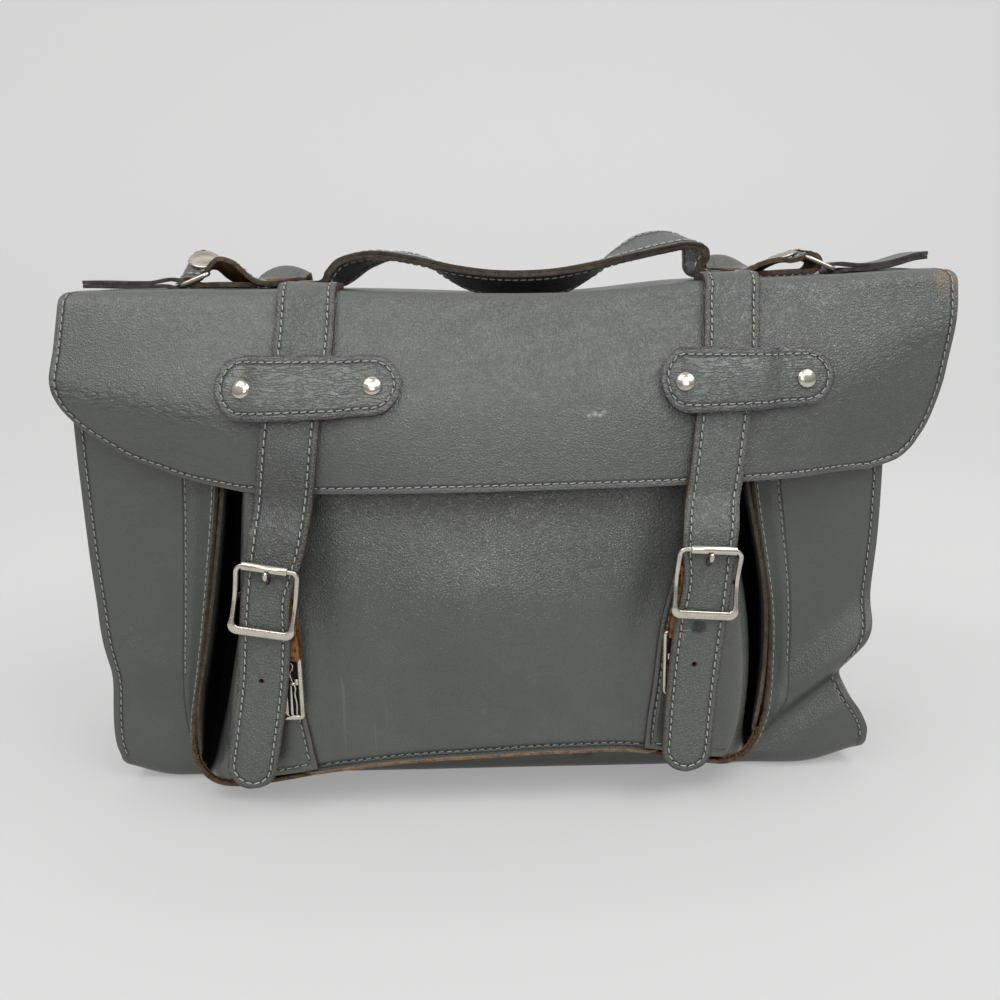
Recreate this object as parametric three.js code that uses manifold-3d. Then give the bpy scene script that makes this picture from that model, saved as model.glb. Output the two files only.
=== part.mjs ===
// Grey leather satchel standing on its base: soft walls, flap, bellows pocket, straps and fittings.
// Millimetres. x runs to the right, y to the back, z up. The floor is z = 0, under the base's centre.
import * as THREE from "three";
import { mergeVertices } from "three/addons/utils/BufferGeometryUtils.js";
import Module from "manifold-3d";

const wasm = await Module();
wasm.setup();

// Leather thicknesses and the clearance between pieces that lie on each other
const wallThick = 2.2;
const pocketThick = 2;
const gussetThick = 1.8;
const strapThick = 3.2;
const keeperThick = 2.2;
const handleThick = 3.4;
const bandThick = 2.4;
const tabThick = 1.4;
const chapeThick = 1.8;
const seat = 0.4;

// Body shell
const frontY = -48;
const backY = 48;
const mouthZ = 236;
const baseRadius = 8;
const cornerLift = 8;
const topRadius = 9;
const topTurn = THREE.MathUtils.degToRad(60);
const topSag = 6;
const flapEndZ = 160;
const flapStartZ = 246;

// Straps, keepers and metal fittings
const strapEndY = -24;
const keeperHalf = 41.5;
const keeperRise = 14;
const rivetRadius = 4.3;
const wireRadius = 1.15;
const studRadius = 7.7;
const bandWidth = 24;

// Height of the top edge from left to right
const topLine = [
  { x: -196, z: 252 },
  { x: -129, z: 251.6 },
  { x: -66, z: 249.7 },
  { x: 11, z: 247.5 },
  { x: 58, z: 247.4 },
  { x: 105, z: 250.5 },
  { x: 151, z: 251.3 },
  { x: 221, z: 253.5 },
];

// Flap outline: its two side edges at each height, with the rounded lower corners
const flapEdge = [
  { z: 160, left: -110, right: 187 },
  { z: 163.6, left: -138, right: 201 },
  { z: 168, left: -152, right: 208 },
  { z: 173, left: -166, right: 212.5 },
  { z: 180, left: -177, right: 217 },
  { z: 188.5, left: -188, right: 220 },
  { z: 199, left: -196, right: 222 },
  { z: 210, left: -199, right: 223 },
  { z: 226, left: -197.5, right: 224.5 },
  { z: 246, left: -196, right: 225.5 },
];

// How far forward the flap stands (y) at each height, at five places across it
const flapPlaces = { edgeLeft: -197, strapLeft: -83, middle: 13, strapRight: 114, edgeRight: 219 };
const flapDepth = [
  { z: 160, edgeLeft: -55, strapLeft: -83, middle: -87, strapRight: -79, edgeRight: -54 },
  { z: 172, edgeLeft: -57, strapLeft: -84, middle: -85, strapRight: -79, edgeRight: -54 },
  { z: 185, edgeLeft: -61, strapLeft: -84, middle: -82, strapRight: -78, edgeRight: -55 },
  { z: 198, edgeLeft: -64, strapLeft: -82, middle: -78, strapRight: -76, edgeRight: -56 },
  { z: 210, edgeLeft: -63, strapLeft: -76, middle: -72, strapRight: -72, edgeRight: -56 },
  { z: 225, edgeLeft: -58, strapLeft: -66, middle: -63, strapRight: -64, edgeRight: -55 },
  { z: 246, edgeLeft: -50, strapLeft: -52, middle: -51, strapRight: -52, edgeRight: -50 },
];

// Front panel outline: side edges at each height, dented on the right
const frontEdge = [
  { z: 8, left: -192, right: 197.5 },
  { z: 13, left: -193.4, right: 197.6 },
  { z: 20, left: -193.8, right: 195 },
  { z: 28, left: -193.5, right: 191 },
  { z: 36, left: -193, right: 186.6 },
  { z: 44, left: -192.5, right: 183.6 },
  { z: 52, left: -192, right: 182.4 },
  { z: 60, left: -191.6, right: 185.4 },
  { z: 69, left: -192, right: 190.5 },
  { z: 80, left: -193, right: 193 },
  { z: 92, left: -194, right: 193.6 },
  { z: 127, left: -195.6, right: 196 },
  { z: 182, left: -196, right: 196.5 },
  { z: 236, left: -195, right: 197 },
];
const backEdge = { left: -195, right: 197, topLeft: -193.5, topRight: 222 };

// Pocket front: how far forward (y) the centre panel stands, at its two seams and its middle
const pocketPlaces = { seamLeft: -85, middle: 3, seamRight: 84 };
const pocketDepth = [
  { z: 20, seamLeft: -79.5, middle: -80, seamRight: -79.5 },
  { z: 40, seamLeft: -79.5, middle: -80.5, seamRight: -79.5 },
  { z: 60, seamLeft: -80, middle: -81.5, seamRight: -80 },
  { z: 85, seamLeft: -80.6, middle: -84, seamRight: -80.6 },
  { z: 110, seamLeft: -80.8, middle: -86, seamRight: -80.8 },
  { z: 130, seamLeft: -80, middle: -86.5, seamRight: -79.5 },
  { z: 150, seamLeft: -77, middle: -83.5, seamRight: -76 },
  { z: 165, seamLeft: -73.5, middle: -78.5, seamRight: -72 },
  { z: 178, seamLeft: -70, middle: -74, seamRight: -69 },
];
const pocketTopZ = 178;
const pocketLip = 2;

// Lower edge of the pocket front from left to right
const pocketBottom = [
  { x: -143, z: 21 },
  { x: -131, z: 17 },
  { x: -107, z: 17 },
  { x: -83, z: 20.4 },
  { x: -43, z: 25.3 },
  { x: 6, z: 28.3 },
  { x: 55, z: 29.3 },
  { x: 83, z: 27 },
  { x: 106, z: 22 },
  { x: 121, z: 19.5 },
  { x: 131, z: 25 },
];

// Pocket side strips: seam, outer roll, valley and raw edge at each height
const stripLeft = [
  { z: 12, seam: -83, roll: -119, valley: -127, edge: -136 },
  { z: 30, seam: -84.5, roll: -128, valley: -135, edge: -142.5 },
  { z: 46, seam: -86, roll: -127, valley: -134.5, edge: -140.8 },
  { z: 87, seam: -85, roll: -119, valley: -127, edge: -132 },
  { z: 127, seam: -85, roll: -115, valley: -122, edge: -126.5 },
  { z: 156, seam: -85.5, roll: -112, valley: -118, edge: -121.5 },
  { z: 178, seam: -86, roll: -109, valley: -115.5, edge: -120.5 },
];
const stripRight = [
  { z: 12, seam: 79, roll: 116, valley: 121, edge: 127 },
  { z: 30, seam: 80, roll: 125, valley: 129.5, edge: 132.5 },
  { z: 46, seam: 83, roll: 127, valley: 132, edge: 135.5 },
  { z: 87, seam: 85, roll: 126, valley: 131.5, edge: 135 },
  { z: 127, seam: 84.5, roll: 122, valley: 127.5, edge: 130.2 },
  { z: 156, seam: 84, roll: 117, valley: 122.5, edge: 125.5 },
  { z: 178, seam: 84, roll: 113, valley: 119.5, edge: 123.5 },
];
const valleyY = -53.5;
const rollY = -69;

// Welt round the pocket: its sewn line on the front panel (baseX, baseZ) and its raw edge
const weltRun = [
  { run: 0, baseX: -143, baseZ: 178, edgeX: -125, edgeY: -64, edgeZ: 178 },
  { run: 1, baseX: -143.5, baseZ: 157, edgeX: -126, edgeY: -65, edgeZ: 157 },
  { run: 2, baseX: -148, baseZ: 104, edgeX: -134.5, edgeY: -66, edgeZ: 104 },
  { run: 3, baseX: -152, baseZ: 67, edgeX: -141.5, edgeY: -66.5, edgeZ: 67 },
  { run: 4, baseX: -153.5, baseZ: 42, edgeX: -147, edgeY: -66.5, edgeZ: 42 },
  { run: 5, baseX: -152, baseZ: 26, edgeX: -148, edgeY: -67, edgeZ: 24 },
  { run: 6, baseX: -145, baseZ: 15, edgeX: -143, edgeY: -68, edgeZ: 13 },
  { run: 7, baseX: -129, baseZ: 12, edgeX: -131, edgeY: -71, edgeZ: 8.5 },
  { run: 8, baseX: -107, baseZ: 12, edgeX: -107, edgeY: -75, edgeZ: 12 },
  { run: 9, baseX: -41, baseZ: 14, edgeX: -41, edgeY: -79, edgeZ: 24 },
  { run: 10, baseX: 54, baseZ: 15, edgeX: 54, edgeY: -79, edgeZ: 28 },
  { run: 11, baseX: 106, baseZ: 14, edgeX: 105, edgeY: -75.5, edgeZ: 18 },
  { run: 12, baseX: 128, baseZ: 15, edgeX: 121, edgeY: -71, edgeZ: 15 },
  { run: 13, baseX: 142, baseZ: 22, edgeX: 132, edgeY: -68, edgeZ: 20 },
  { run: 14, baseX: 149, baseZ: 34, edgeX: 138, edgeY: -67, edgeZ: 33 },
  { run: 15, baseX: 152.5, baseZ: 55, edgeX: 140.8, edgeY: -66.5, edgeZ: 55 },
  { run: 16, baseX: 151.5, baseZ: 95, edgeX: 139.8, edgeY: -66, edgeZ: 95 },
  { run: 17, baseX: 144.5, baseZ: 151, edgeX: 130.5, edgeY: -65, edgeZ: 152 },
  { run: 18, baseX: 142, baseZ: 178, edgeX: 128, edgeY: -64, edgeZ: 178 },
];
const weltMargin = 5;

// Strap centre lines and widths down the front; both lean to the left
const strapLineLeft = [
  { z: 18, x: -114.5, width: 23.5 },
  { z: 69, x: -105, width: 23.5 },
  { z: 97, x: -101.6, width: 23.4 },
  { z: 113.6, x: -98.9, width: 23.4 },
  { z: 131, x: -96.2, width: 23.6 },
  { z: 164, x: -88.6, width: 26 },
  { z: 192, x: -84, width: 26.5 },
  { z: 222, x: -79.5, width: 27 },
  { z: 252, x: -79, width: 27 },
];
const strapLineRight = [
  { z: 22, x: 95, width: 23.5 },
  { z: 64, x: 97.5, width: 23.5 },
  { z: 100, x: 100.6, width: 23.4 },
  { z: 117.6, x: 101.9, width: 23.4 },
  { z: 134, x: 103.4, width: 23.6 },
  { z: 161, x: 107, width: 24.5 },
  { z: 193, x: 111, width: 25 },
  { z: 220, x: 116, width: 25 },
  { z: 252, x: 119.5, width: 25.5 },
];
// Back face of a strap (y) below the flap's edge
const strapFall = [
  { z: 18, y: -88.3 },
  { z: 50, y: -89.4 },
  { z: 70, y: -89.8 },
  { z: 85, y: -90.4 },
  { z: 98, y: -91.1 },
  { z: 108, y: -92 },
  { z: 122, y: -92 },
  { z: 131, y: -91.1 },
  { z: 142, y: -89.3 },
  { z: 158, y: -85 },
];

// The two sides' own places: keeper centre, buckle centre and tilt, clasp centre
const sides = {
  left: {
    strap: strapLineLeft, keeperX: -75, keeperZ: 208, rivetLeft: -30, rivetRight: 29,
    buckleX: -98.9, buckleZ: 113.6, tilt: 10, claspX: -97.5, claspZ: 64.6, shear: 7,
  },
  right: {
    strap: strapLineRight, keeperX: 122.5, keeperZ: 207, rivetLeft: -30.4, rivetRight: 27,
    buckleX: 101.9, buckleZ: 117.6, tilt: 4, claspX: 92.5, claspZ: 70.5, shear: -7.5,
  },
};

// Handle: its near and far edges from left to right
const handleRun = [
  { run: 0, nearX: -92, nearZ: 254.2, farX: -90, farZ: 254.6 },
  { run: 1, nearX: -80, nearZ: 254.6, farX: -74, farZ: 254.4 },
  { run: 2, nearX: -73.5, nearZ: 260, farX: -65, farZ: 256.5 },
  { run: 3, nearX: -64, nearZ: 266.6, farX: -54, farZ: 263.5 },
  { run: 4, nearX: -52, nearZ: 267.8, farX: -41, farZ: 268 },
  { run: 5, nearX: -30, nearZ: 263.3, farX: -24, farZ: 263.5 },
  { run: 6, nearX: -10, nearZ: 258.8, farX: -6, farZ: 251.5 },
  { run: 7, nearX: 12, nearZ: 257.2, farX: 14, farZ: 246.6 },
  { run: 8, nearX: 36, nearZ: 258.6, farX: 40, farZ: 247 },
  { run: 9, nearX: 58, nearZ: 261, farX: 58, farZ: 256 },
  { run: 10, nearX: 76, nearZ: 264.2, farX: 72, farZ: 267.5 },
  { run: 11, nearX: 92, nearZ: 267.2, farX: 84, farZ: 274.5 },
  { run: 12, nearX: 106, nearZ: 269.3, farX: 98, farZ: 275.8 },
  { run: 13, nearX: 115, nearZ: 266.8, farX: 109, farZ: 270.5 },
  { run: 14, nearX: 116.6, nearZ: 261, farX: 111, farZ: 262 },
  { run: 15, nearX: 114, nearZ: 256.6, farX: 111.5, farZ: 256.8 },
  { run: 16, nearX: 117, nearZ: 254.9, farX: 116, farZ: 254.9 },
  { run: 17, nearX: 123, nearZ: 254.9, farX: 122, farZ: 254.9 },
];
const handleNearY = -16;
const handleFarY = 11;

// Loops at the ends of the shoulder strap: distance in from the fold and height over the top
const loopLeft = [
  { from: 38, over: 7 },
  { from: 35, over: 9.8 },
  { from: 30, over: 13.4 },
  { from: 24, over: 15.2 },
  { from: 17, over: 14.4 },
  { from: 10, over: 12 },
];
const loopRight = [
  { from: 40, over: 6.8 },
  { from: 32, over: 7.4 },
  { from: 25, over: 8.2 },
  { from: 19, over: 9.2 },
  { from: 13, over: 10.8 },
  { from: 8, over: 11.6 },
];
const foldRadius = bandThick + wireRadius + seat;
const ends = {
  left: {
    sign: -1, foldX: -150, turnX: -128, legX: -106, stud: 10, studTilt: 22, tabX: -199, loop: loopLeft,
  },
  right: {
    sign: 1, foldX: 176.5, turnX: 158, legX: 136, stud: 20, studTilt: 12, tabX: 227, loop: loopRight,
  },
};
const turnRadius = 22;
const hangY = 63;
const hangLowZ = 16;

// Colours from the photograph
const greyLeather = { color: 0x6a6c6a, roughness: 0.55, metalness: 0 };
const strapLeather = { color: 0x646560, roughness: 0.5, metalness: 0 };
const rawLeather = { color: 0x5f4630, roughness: 0.85, metalness: 0 };
const nickel = { color: 0xb9b7b2, roughness: 0.28, metalness: 1 };

const point = (x, y, z) => new THREE.Vector3(x, y, z);
const smooth = (a, b, at) => THREE.MathUtils.smoothstep(at, a, b);
const mix = THREE.MathUtils.lerp;
const steps = (from, to, count) => Array.from({ length: count }, (_, i) => mix(from, to, i / (count - 1)));

// Smooth curve through one column of a table, read at a value of its key column
function along(table, key, column, at) {
  const last = table.length - 1;
  if (at <= table[0][key]) return table[0][column];
  if (at >= table[last][key]) return table[last][column];
  let i = 0;
  while (at > table[i + 1][key]) i += 1;
  const slope = (k) => {
    const a = table[Math.max(k - 1, 0)];
    const b = table[Math.min(k + 1, last)];
    return (b[column] - a[column]) / (b[key] - a[key]);
  };
  const from = table[i];
  const to = table[i + 1];
  const span = to[key] - from[key];
  const t = (at - from[key]) / span;
  const rise = t * t * (3 - 2 * t);
  const lead = t * (1 - t) * ((1 - t) * slope(i) - t * slope(i + 1)) * span;
  return mix(from[column], to[column], rise) + lead;
}

// Depth (y) read from a table whose columns stand at several places across
function depthAcross(table, places, x, z) {
  const row = Object.entries(places).map(([name, at]) => ({ at, y: along(table, "z", name, z) }));
  return along(row, "at", "y", x);
}

// Closed wall from a grid of points on its outer side; the inner side lies one thickness behind
function wall(face, thickness) {
  const rows = face.length;
  const cols = face[0].length;
  const inward = (i, j) => {
    const down = face[Math.min(i + 1, rows - 1)][j].clone().sub(face[Math.max(i - 1, 0)][j]);
    const over = face[i][Math.min(j + 1, cols - 1)].clone().sub(face[i][Math.max(j - 1, 0)]);
    return down.cross(over).normalize().multiplyScalar(-thickness);
  };
  const inner = face.map((row, i) => row.map((p, j) => p.clone().add(inward(i, j))));
  const outerAt = (i, j) => i * cols + j;
  const innerAt = (i, j) => (rows + i) * cols + j;
  const index = [];
  const quad = (a, b, c, d) => index.push(a, b, c, a, c, d);
  for (let i = 0; i < rows - 1; i += 1) {
    for (let j = 0; j < cols - 1; j += 1) {
      quad(outerAt(i, j), outerAt(i + 1, j), outerAt(i + 1, j + 1), outerAt(i, j + 1));
      quad(innerAt(i, j), innerAt(i, j + 1), innerAt(i + 1, j + 1), innerAt(i + 1, j));
    }
    const end = cols - 1;
    quad(outerAt(i + 1, 0), outerAt(i, 0), innerAt(i, 0), innerAt(i + 1, 0));
    quad(outerAt(i, end), outerAt(i + 1, end), innerAt(i + 1, end), innerAt(i, end));
  }
  for (let j = 0; j < cols - 1; j += 1) {
    const end = rows - 1;
    quad(outerAt(0, j), outerAt(0, j + 1), innerAt(0, j + 1), innerAt(0, j));
    quad(outerAt(end, j + 1), outerAt(end, j), innerAt(end, j), innerAt(end, j + 1));
  }
  return closedGeometry([...face.flat(), ...inner.flat()], index);
}

function closedGeometry(points, index) {
  const geometry = new THREE.BufferGeometry().setFromPoints(points);
  geometry.setIndex(index);
  return geometry;
}

// Round bar bent along a closed loop of points
function ringBar(loop, across, deep, count) {
  const size = loop.length;
  const points = [];
  const index = [];
  loop.forEach((p, i) => {
    const ahead = loop[(i + 1) % size].clone().sub(loop[(i + size - 1) % size]).normalize();
    const side = ahead.clone().cross(point(0, 1, 0)).normalize();
    const up = side.clone().cross(ahead);
    for (let k = 0; k < count; k += 1) {
      const angle = (2 * Math.PI * (k + 0.5)) / count;
      const out = side.clone().multiplyScalar(across * Math.cos(angle));
      points.push(p.clone().add(out).addScaledVector(up, deep * Math.sin(angle)));
      const a = i * count + k;
      const b = i * count + ((k + 1) % count);
      const next = ((i + 1) % size) * count - i * count;
      index.push(a, b, b + next, a, b + next, a + next);
    }
  });
  return facingOut(closedGeometry(points, index));
}

// Turns a closed shape the right way out when its volume comes out negative
function facingOut(geometry) {
  const at = geometry.getAttribute("position");
  const ids = geometry.getIndex().array;
  const corner = (k) => new THREE.Vector3().fromBufferAttribute(at, ids[k]);
  let volume = 0;
  for (let k = 0; k < ids.length; k += 3) volume += corner(k).dot(corner(k + 1).cross(corner(k + 2)));
  if (volume < 0) {
    for (let k = 0; k < ids.length; k += 3) [ids[k], ids[k + 1]] = [ids[k + 1], ids[k]];
  }
  return geometry;
}

function toSolid(geometry) {
  const bare = geometry.clone();
  bare.deleteAttribute("normal");
  bare.deleteAttribute("uv");
  const merged = mergeVertices(bare, 1e-4);
  const vertProperties = new Float32Array(merged.getAttribute("position").array);
  const triVerts = new Uint32Array(merged.getIndex().array);
  return new wasm.Manifold(new wasm.Mesh({ numProp: 3, vertProperties, triVerts }));
}

function fromSolid(solid) {
  const { vertProperties, triVerts } = solid.getMesh();
  const geometry = new THREE.BufferGeometry();
  geometry.setAttribute("position", new THREE.BufferAttribute(vertProperties, 3));
  geometry.setIndex(new THREE.BufferAttribute(triVerts, 1));
  return geometry;
}

const cut = (from, ...tools) =>
  fromSolid(tools.reduce((body, tool) => body.subtract(toSolid(tool)), toSolid(from)));
const join = (...parts) => fromSolid(parts.map(toSolid).reduce((a, b) => a.add(b)));
const box = (x, y, z) => new THREE.BoxGeometry(x, y, z);

const satchel = new THREE.Group();
satchel.name = "satchel";

function addPiece(name, geometry, look, parent = satchel) {
  const bare = geometry.clone();
  bare.deleteAttribute("uv");
  bare.computeVertexNormals();
  const mesh = new THREE.Mesh(bare, new THREE.MeshStandardMaterial(look));
  mesh.name = name;
  parent.add(mesh);
  return mesh;
}

// Top surface, flap and their outer sides
const topZ = (x, y) => {
  const middle = Math.exp(-(((x - 22) / 50) ** 2));
  const deep = Math.max(0, 1 - (y / 46) ** 2);
  return along(topLine, "x", "z", x) - topSag * middle * deep;
};
const flapY = (x, z) => depthAcross(flapDepth, flapPlaces, x, z);
const turnReach = topRadius * Math.sin(topTurn);
const turnY = (x) => flapY(x, flapStartZ) + turnReach;
const turnZ = (x) => topZ(x, turnY(x)) - topRadius;

function turnPoint(x, angle, out) {
  const reach = topRadius + out;
  return point(x, turnY(x) - reach * Math.sin(angle), turnZ(x) + reach * Math.cos(angle));
}

// A point that stands off a front surface y = depth(x, z), square to it
function standOff(depth, x, z, out) {
  const h = 0.5;
  const overX = (depth(x + h, z) - depth(x - h, z)) / (2 * h);
  const overZ = (depth(x, z + h) - depth(x, z - h)) / (2 * h);
  const normal = point(overX, -1, overZ).normalize();
  return point(x, depth(x, z), z).addScaledVector(normal, out);
}

// Base lift at the two ends and the front panel's depth with its folds
const baseLift = (x) => cornerLift * smooth(158, 198, Math.abs(x)) ** 1.5;

function frontPanelY(x, z) {
  const full = 1.6 * Math.sin(Math.PI * THREE.MathUtils.clamp(z / mouthZ, 0, 1));
  const line = 58 + (x - 185) * 0.95;
  const nearRight = smooth(120, 178, x);
  const ridge = 5 * Math.exp(-(((z - line - 12) / 11) ** 2)) * nearRight;
  const valley = 3 * Math.exp(-(((z - line + 3) / 8) ** 2)) * nearRight;
  const softLeft = 2 * Math.exp(-(((z - 68) / 18) ** 2)) * smooth(160, 188, -x);
  return frontY - full - ridge + valley - softLeft;
}

// Height of a row of the front panel: the lifted base corners carry the lower rows up with them
const rowHeight = (z, x) => z + baseLift(x) * (1 - smooth(baseRadius, 90, z));

// Front panel: down the front, round the lower edge and back along the base
function frontPanel() {
  const columns = [0, 0.025, ...steps(0.07, 0.93, 13), 0.975, 1];
  const across = (z, inset = 0) => {
    const left = along(frontEdge, "z", "left", z) + inset;
    const right = along(frontEdge, "z", "right", z) - inset;
    return columns.map((c) => mix(left, right, c));
  };
  const face = [];
  const heights = [mouthZ, 200, 165, 135, 110, 92, 80, 69, 60, 52, 44, 36, 28, 20, 13, baseRadius];
  for (const z of heights) {
    face.push(across(z).map((x) => point(x, frontPanelY(x, rowHeight(z, x)), rowHeight(z, x))));
  }
  for (const angle of [30, 60, 90].map(THREE.MathUtils.degToRad)) {
    const z = baseRadius * (1 - Math.sin(angle));
    const inset = baseRadius * (1 - Math.cos(angle));
    const ahead = (x) => mix(frontPanelY(x, baseRadius + baseLift(x)), frontY, angle / (Math.PI / 2));
    face.push(across(baseRadius, inset / 2).map((x) => point(x, ahead(x) + inset, z + baseLift(x))));
  }
  for (const y of [-10, 18, backY - wallThick - seat]) {
    face.push(across(baseRadius, baseRadius / 2).map((x) => point(x, y, baseLift(x))));
  }
  return wall(face, wallThick);
}

// Back, top and flap in one leather
function backFlap() {
  const columns = steps(0, 1, 19);
  const face = [];
  const spread = (left, right) => columns.map((c) => mix(left, right, c));
  const turnFrom = backY - topRadius;
  for (const t of [0, 0.12, 0.35, 0.65, 0.88, 1]) {
    const left = mix(backEdge.left, backEdge.topLeft, t ** 4);
    const right = mix(backEdge.right, backEdge.topRight, t ** 4);
    const row = spread(left, right);
    const high = (x) => topZ(x, turnFrom) - topRadius;
    face.push(row.map((x) => point(x, backY, mix(seat + baseLift(x), high(x), t))));
  }
  const top = spread(backEdge.topLeft, backEdge.topRight);
  for (const angle of [60, 30, 0].map(THREE.MathUtils.degToRad)) {
    const back = turnFrom + topRadius * Math.sin(angle);
    const lower = topRadius * (1 - Math.cos(angle));
    face.push(top.map((x) => point(x, back, topZ(x, turnFrom) - lower)));
  }
  for (const t of [0.25, 0.5, 0.75]) {
    face.push(top.map((x) => point(x, mix(turnFrom, turnY(x), t), topZ(x, mix(turnFrom, turnY(x), t)))));
  }
  for (const angle of [0, 20, 40, 60].map(THREE.MathUtils.degToRad)) {
    face.push(top.map((x) => turnPoint(x, angle, 0)));
  }
  for (const t of [0.12, 0.24, 0.36, 0.48, 0.58, 0.67, 0.75, 0.82, 0.88, 0.93, 0.97, 1]) {
    const z = mix(flapStartZ, flapEndZ, t);
    const row = spread(along(flapEdge, "z", "left", z), along(flapEdge, "z", "right", z));
    const start = (x) => turnPoint(x, topTurn, 0).z;
    face.push(row.map((x) => point(x, flapY(x, mix(flapStartZ, flapEndZ, t)), mix(start(x), flapEndZ, t))));
  }
  return wall(face, wallThick);
}

// Side wall with an inward pleat; its flanges lie behind the front and in front of the back
function gusset(side) {
  const edge = (z) => along(frontEdge, "z", side < 0 ? "left" : "right", z);
  const face = [];
  const rows = [20, 28, 36, 44, 52, 60, 69, 80, 92, 110, 135, 180, mouthZ - 2];
  for (const row of rows) {
    const z = rowHeight(row, edge(row));
    const x = (inset) => edge(row) - side * inset;
    const fold = 4 + 22 * smooth(20, 200, z);
    const slack = 0.4 + (side > 0 ? 2 : 0) * Math.exp(-(((z - 68) / 15) ** 2));
    const ahead = (inset) => frontPanelY(x(inset), z) + wallThick + seat + gussetThick + slack;
    const behind = backY - wallThick - seat - gussetThick;
    const line = [
      [1.5, ahead(1.5)], [8, ahead(8)], [10.5, ahead(8) + 3], [11.5, -30], [11.5 + fold * 0.62, -10],
      [11.5 + fold, 0], [11.5 + fold * 0.62, 10], [11.5, 30], [10.5, behind - 3], [8, behind], [1.5, behind],
    ];
    const floor = baseLift(edge(baseRadius)) + wallThick + 2 * seat;
    const height = (k) => (row === rows[0] && k > 2 && k < 8 ? floor : z);
    const across = line.map(([inset, y], k) => point(x(inset), y, height(k)));
    face.push(side < 0 ? across : across.reverse());
  }
  return wall(face, gussetThick);
}

// Pocket: centre panel, the two strips over its seams and the welt that joins it to the front
const pocketY = (x, z) => depthAcross(pocketDepth, pocketPlaces, x, z);
const pocketEnd = (x) => along(pocketBottom, "x", "z", x);

function pocketPanel() {
  const columns = steps(-92, 91, 10);
  const face = [0, 0.16, 0.32, 0.48, 0.64, 0.8, 0.9, 0.965, 1].map((t) =>
    columns.map((x) => {
      const z = mix(pocketTopZ, pocketEnd(x), t);
      const lip = pocketLip * smooth(0.9, 1, t) * (1 - smooth(58, 76, Math.abs(x - 3)));
      return point(x, pocketY(x, z) - lip, z);
    }),
  );
  return wall(face, pocketThick);
}

function pocketStrip(table, side) {
  const face = steps(0, 1, 10).map((t) => {
    const nominal = mix(pocketTopZ, 12, t);
    const at = (name) => along(table, "z", name, nominal);
    const forward = (x) => pocketY(x, Math.max(nominal, 22)) - pocketThick - seat - 0.2;
    const front = at("roll") - side * 9;
    const line = [
      [at("edge"), -64.5 - 2 * t], [mix(at("edge"), at("valley"), 0.55), -58.5], [at("valley"), valleyY],
      [mix(at("valley"), at("roll"), 0.55), -57.5], [at("roll") + side * 1.2, -64], [at("roll"), rollY],
      [at("roll") - side * 3, rollY - 6], [front, forward(at("seam")) + 1.2],
      [mix(front, at("seam"), 0.5), forward(at("seam")) - 0.4], [at("seam"), forward(at("seam"))],
    ];
    const row = line.map(([x, y]) => point(x, y, mix(pocketTopZ, pocketEnd(x) + 1.5, t)));
    return side < 0 ? row : row.reverse();
  });
  return wall(face, pocketThick);
}

function pocketWelt() {
  const at = (name, run) => along(weltRun, "run", name, run);
  const face = steps(0, 18, 28).map((run) => {
    const [baseX, baseZ, edgeX] = ["baseX", "baseZ", "edgeX"].map((name) => at(name, run));
    const [edgeY, edgeZ] = ["edgeY", "edgeZ"].map((name) => at(name, run));
    const gain = (name) => at(name, run + 0.2) - at(name, run - 0.2);
    const ahead = point(gain("baseX"), 0, gain("baseZ"));
    const outward = point(0, 1, 0).cross(ahead).normalize().multiplyScalar(-weltMargin);
    const lie = (x, z) => frontPanelY(x, z) - seat - pocketThick;
    const base = point(baseX, lie(baseX, baseZ), baseZ);
    const margin = base.clone().add(outward);
    margin.y = lie(margin.x, margin.z);
    const edge = point(edgeX, edgeY, edgeZ);
    const bend = base.clone().lerp(edge, 0.3);
    bend.y = mix(base.y, edge.y, 0.16);
    const mid = base.clone().lerp(edge, 0.66);
    mid.y = mix(base.y, edge.y, 0.55);
    return [margin, base, bend, mid, edge];
  });
  return wall(face, pocketThick);
}

// Strap from its sewn end on the top, over the edge, down the flap and on to its rounded tip
function strapBack(x, z) {
  const onFlap = flapY(x, Math.max(z, 158)) - seat * 1.3;
  return mix(along(strapFall, "z", "y", z), onFlap, smooth(140, 158, z));
}

function strap(line) {
  const tipZ = line[0].z;
  const centre = (z) => along(line, "z", "x", z);
  const width = (z) => along(line, "z", "width", z);
  const out = seat + strapThick;
  const topX = centre(252);
  const face = [];
  const three = [-0.5, 0, 0.5];
  for (const y of [strapEndY, -33]) {
    face.push(three.map((k) => point(topX + k * width(252), y, topZ(topX + k * width(252), y) + out)));
  }
  for (const angle of [0, 20, 40, 60].map(THREE.MathUtils.degToRad)) {
    face.push(three.map((k) => turnPoint(topX + k * width(252), angle, out)));
  }
  const onFlap = [237, 228, 219, 210, 201, 192, 183, 175, 167, 160];
  const below = [153, 146, 140, 134, 128, 122, 115, 108, 100, 90, 76, 62, 48];
  const tip = [30, 12, 7.5, 4, 1.6, 0.3];
  for (const z of [...onFlap, ...below, ...tip.map((up) => tipZ + up)]) {
    const lean = (centre(z + 4) - centre(z - 4)) / 8;
    const across = point(1, 0, -lean).normalize();
    const half = width(z) / 2;
    const left = Math.max(z - tipZ, 0);
    const round = left >= half ? 1 : Math.sqrt(1 - ((half - left) / half) ** 2);
    const row = three.map((k) => across.clone().multiplyScalar(2 * k * half * Math.max(round, 0.15)));
    face.push(row.map((off) => standOff(strapBack, centre(z) + off.x, z + off.z, strapThick)));
  }
  return wall(face, strapThick);
}

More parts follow.
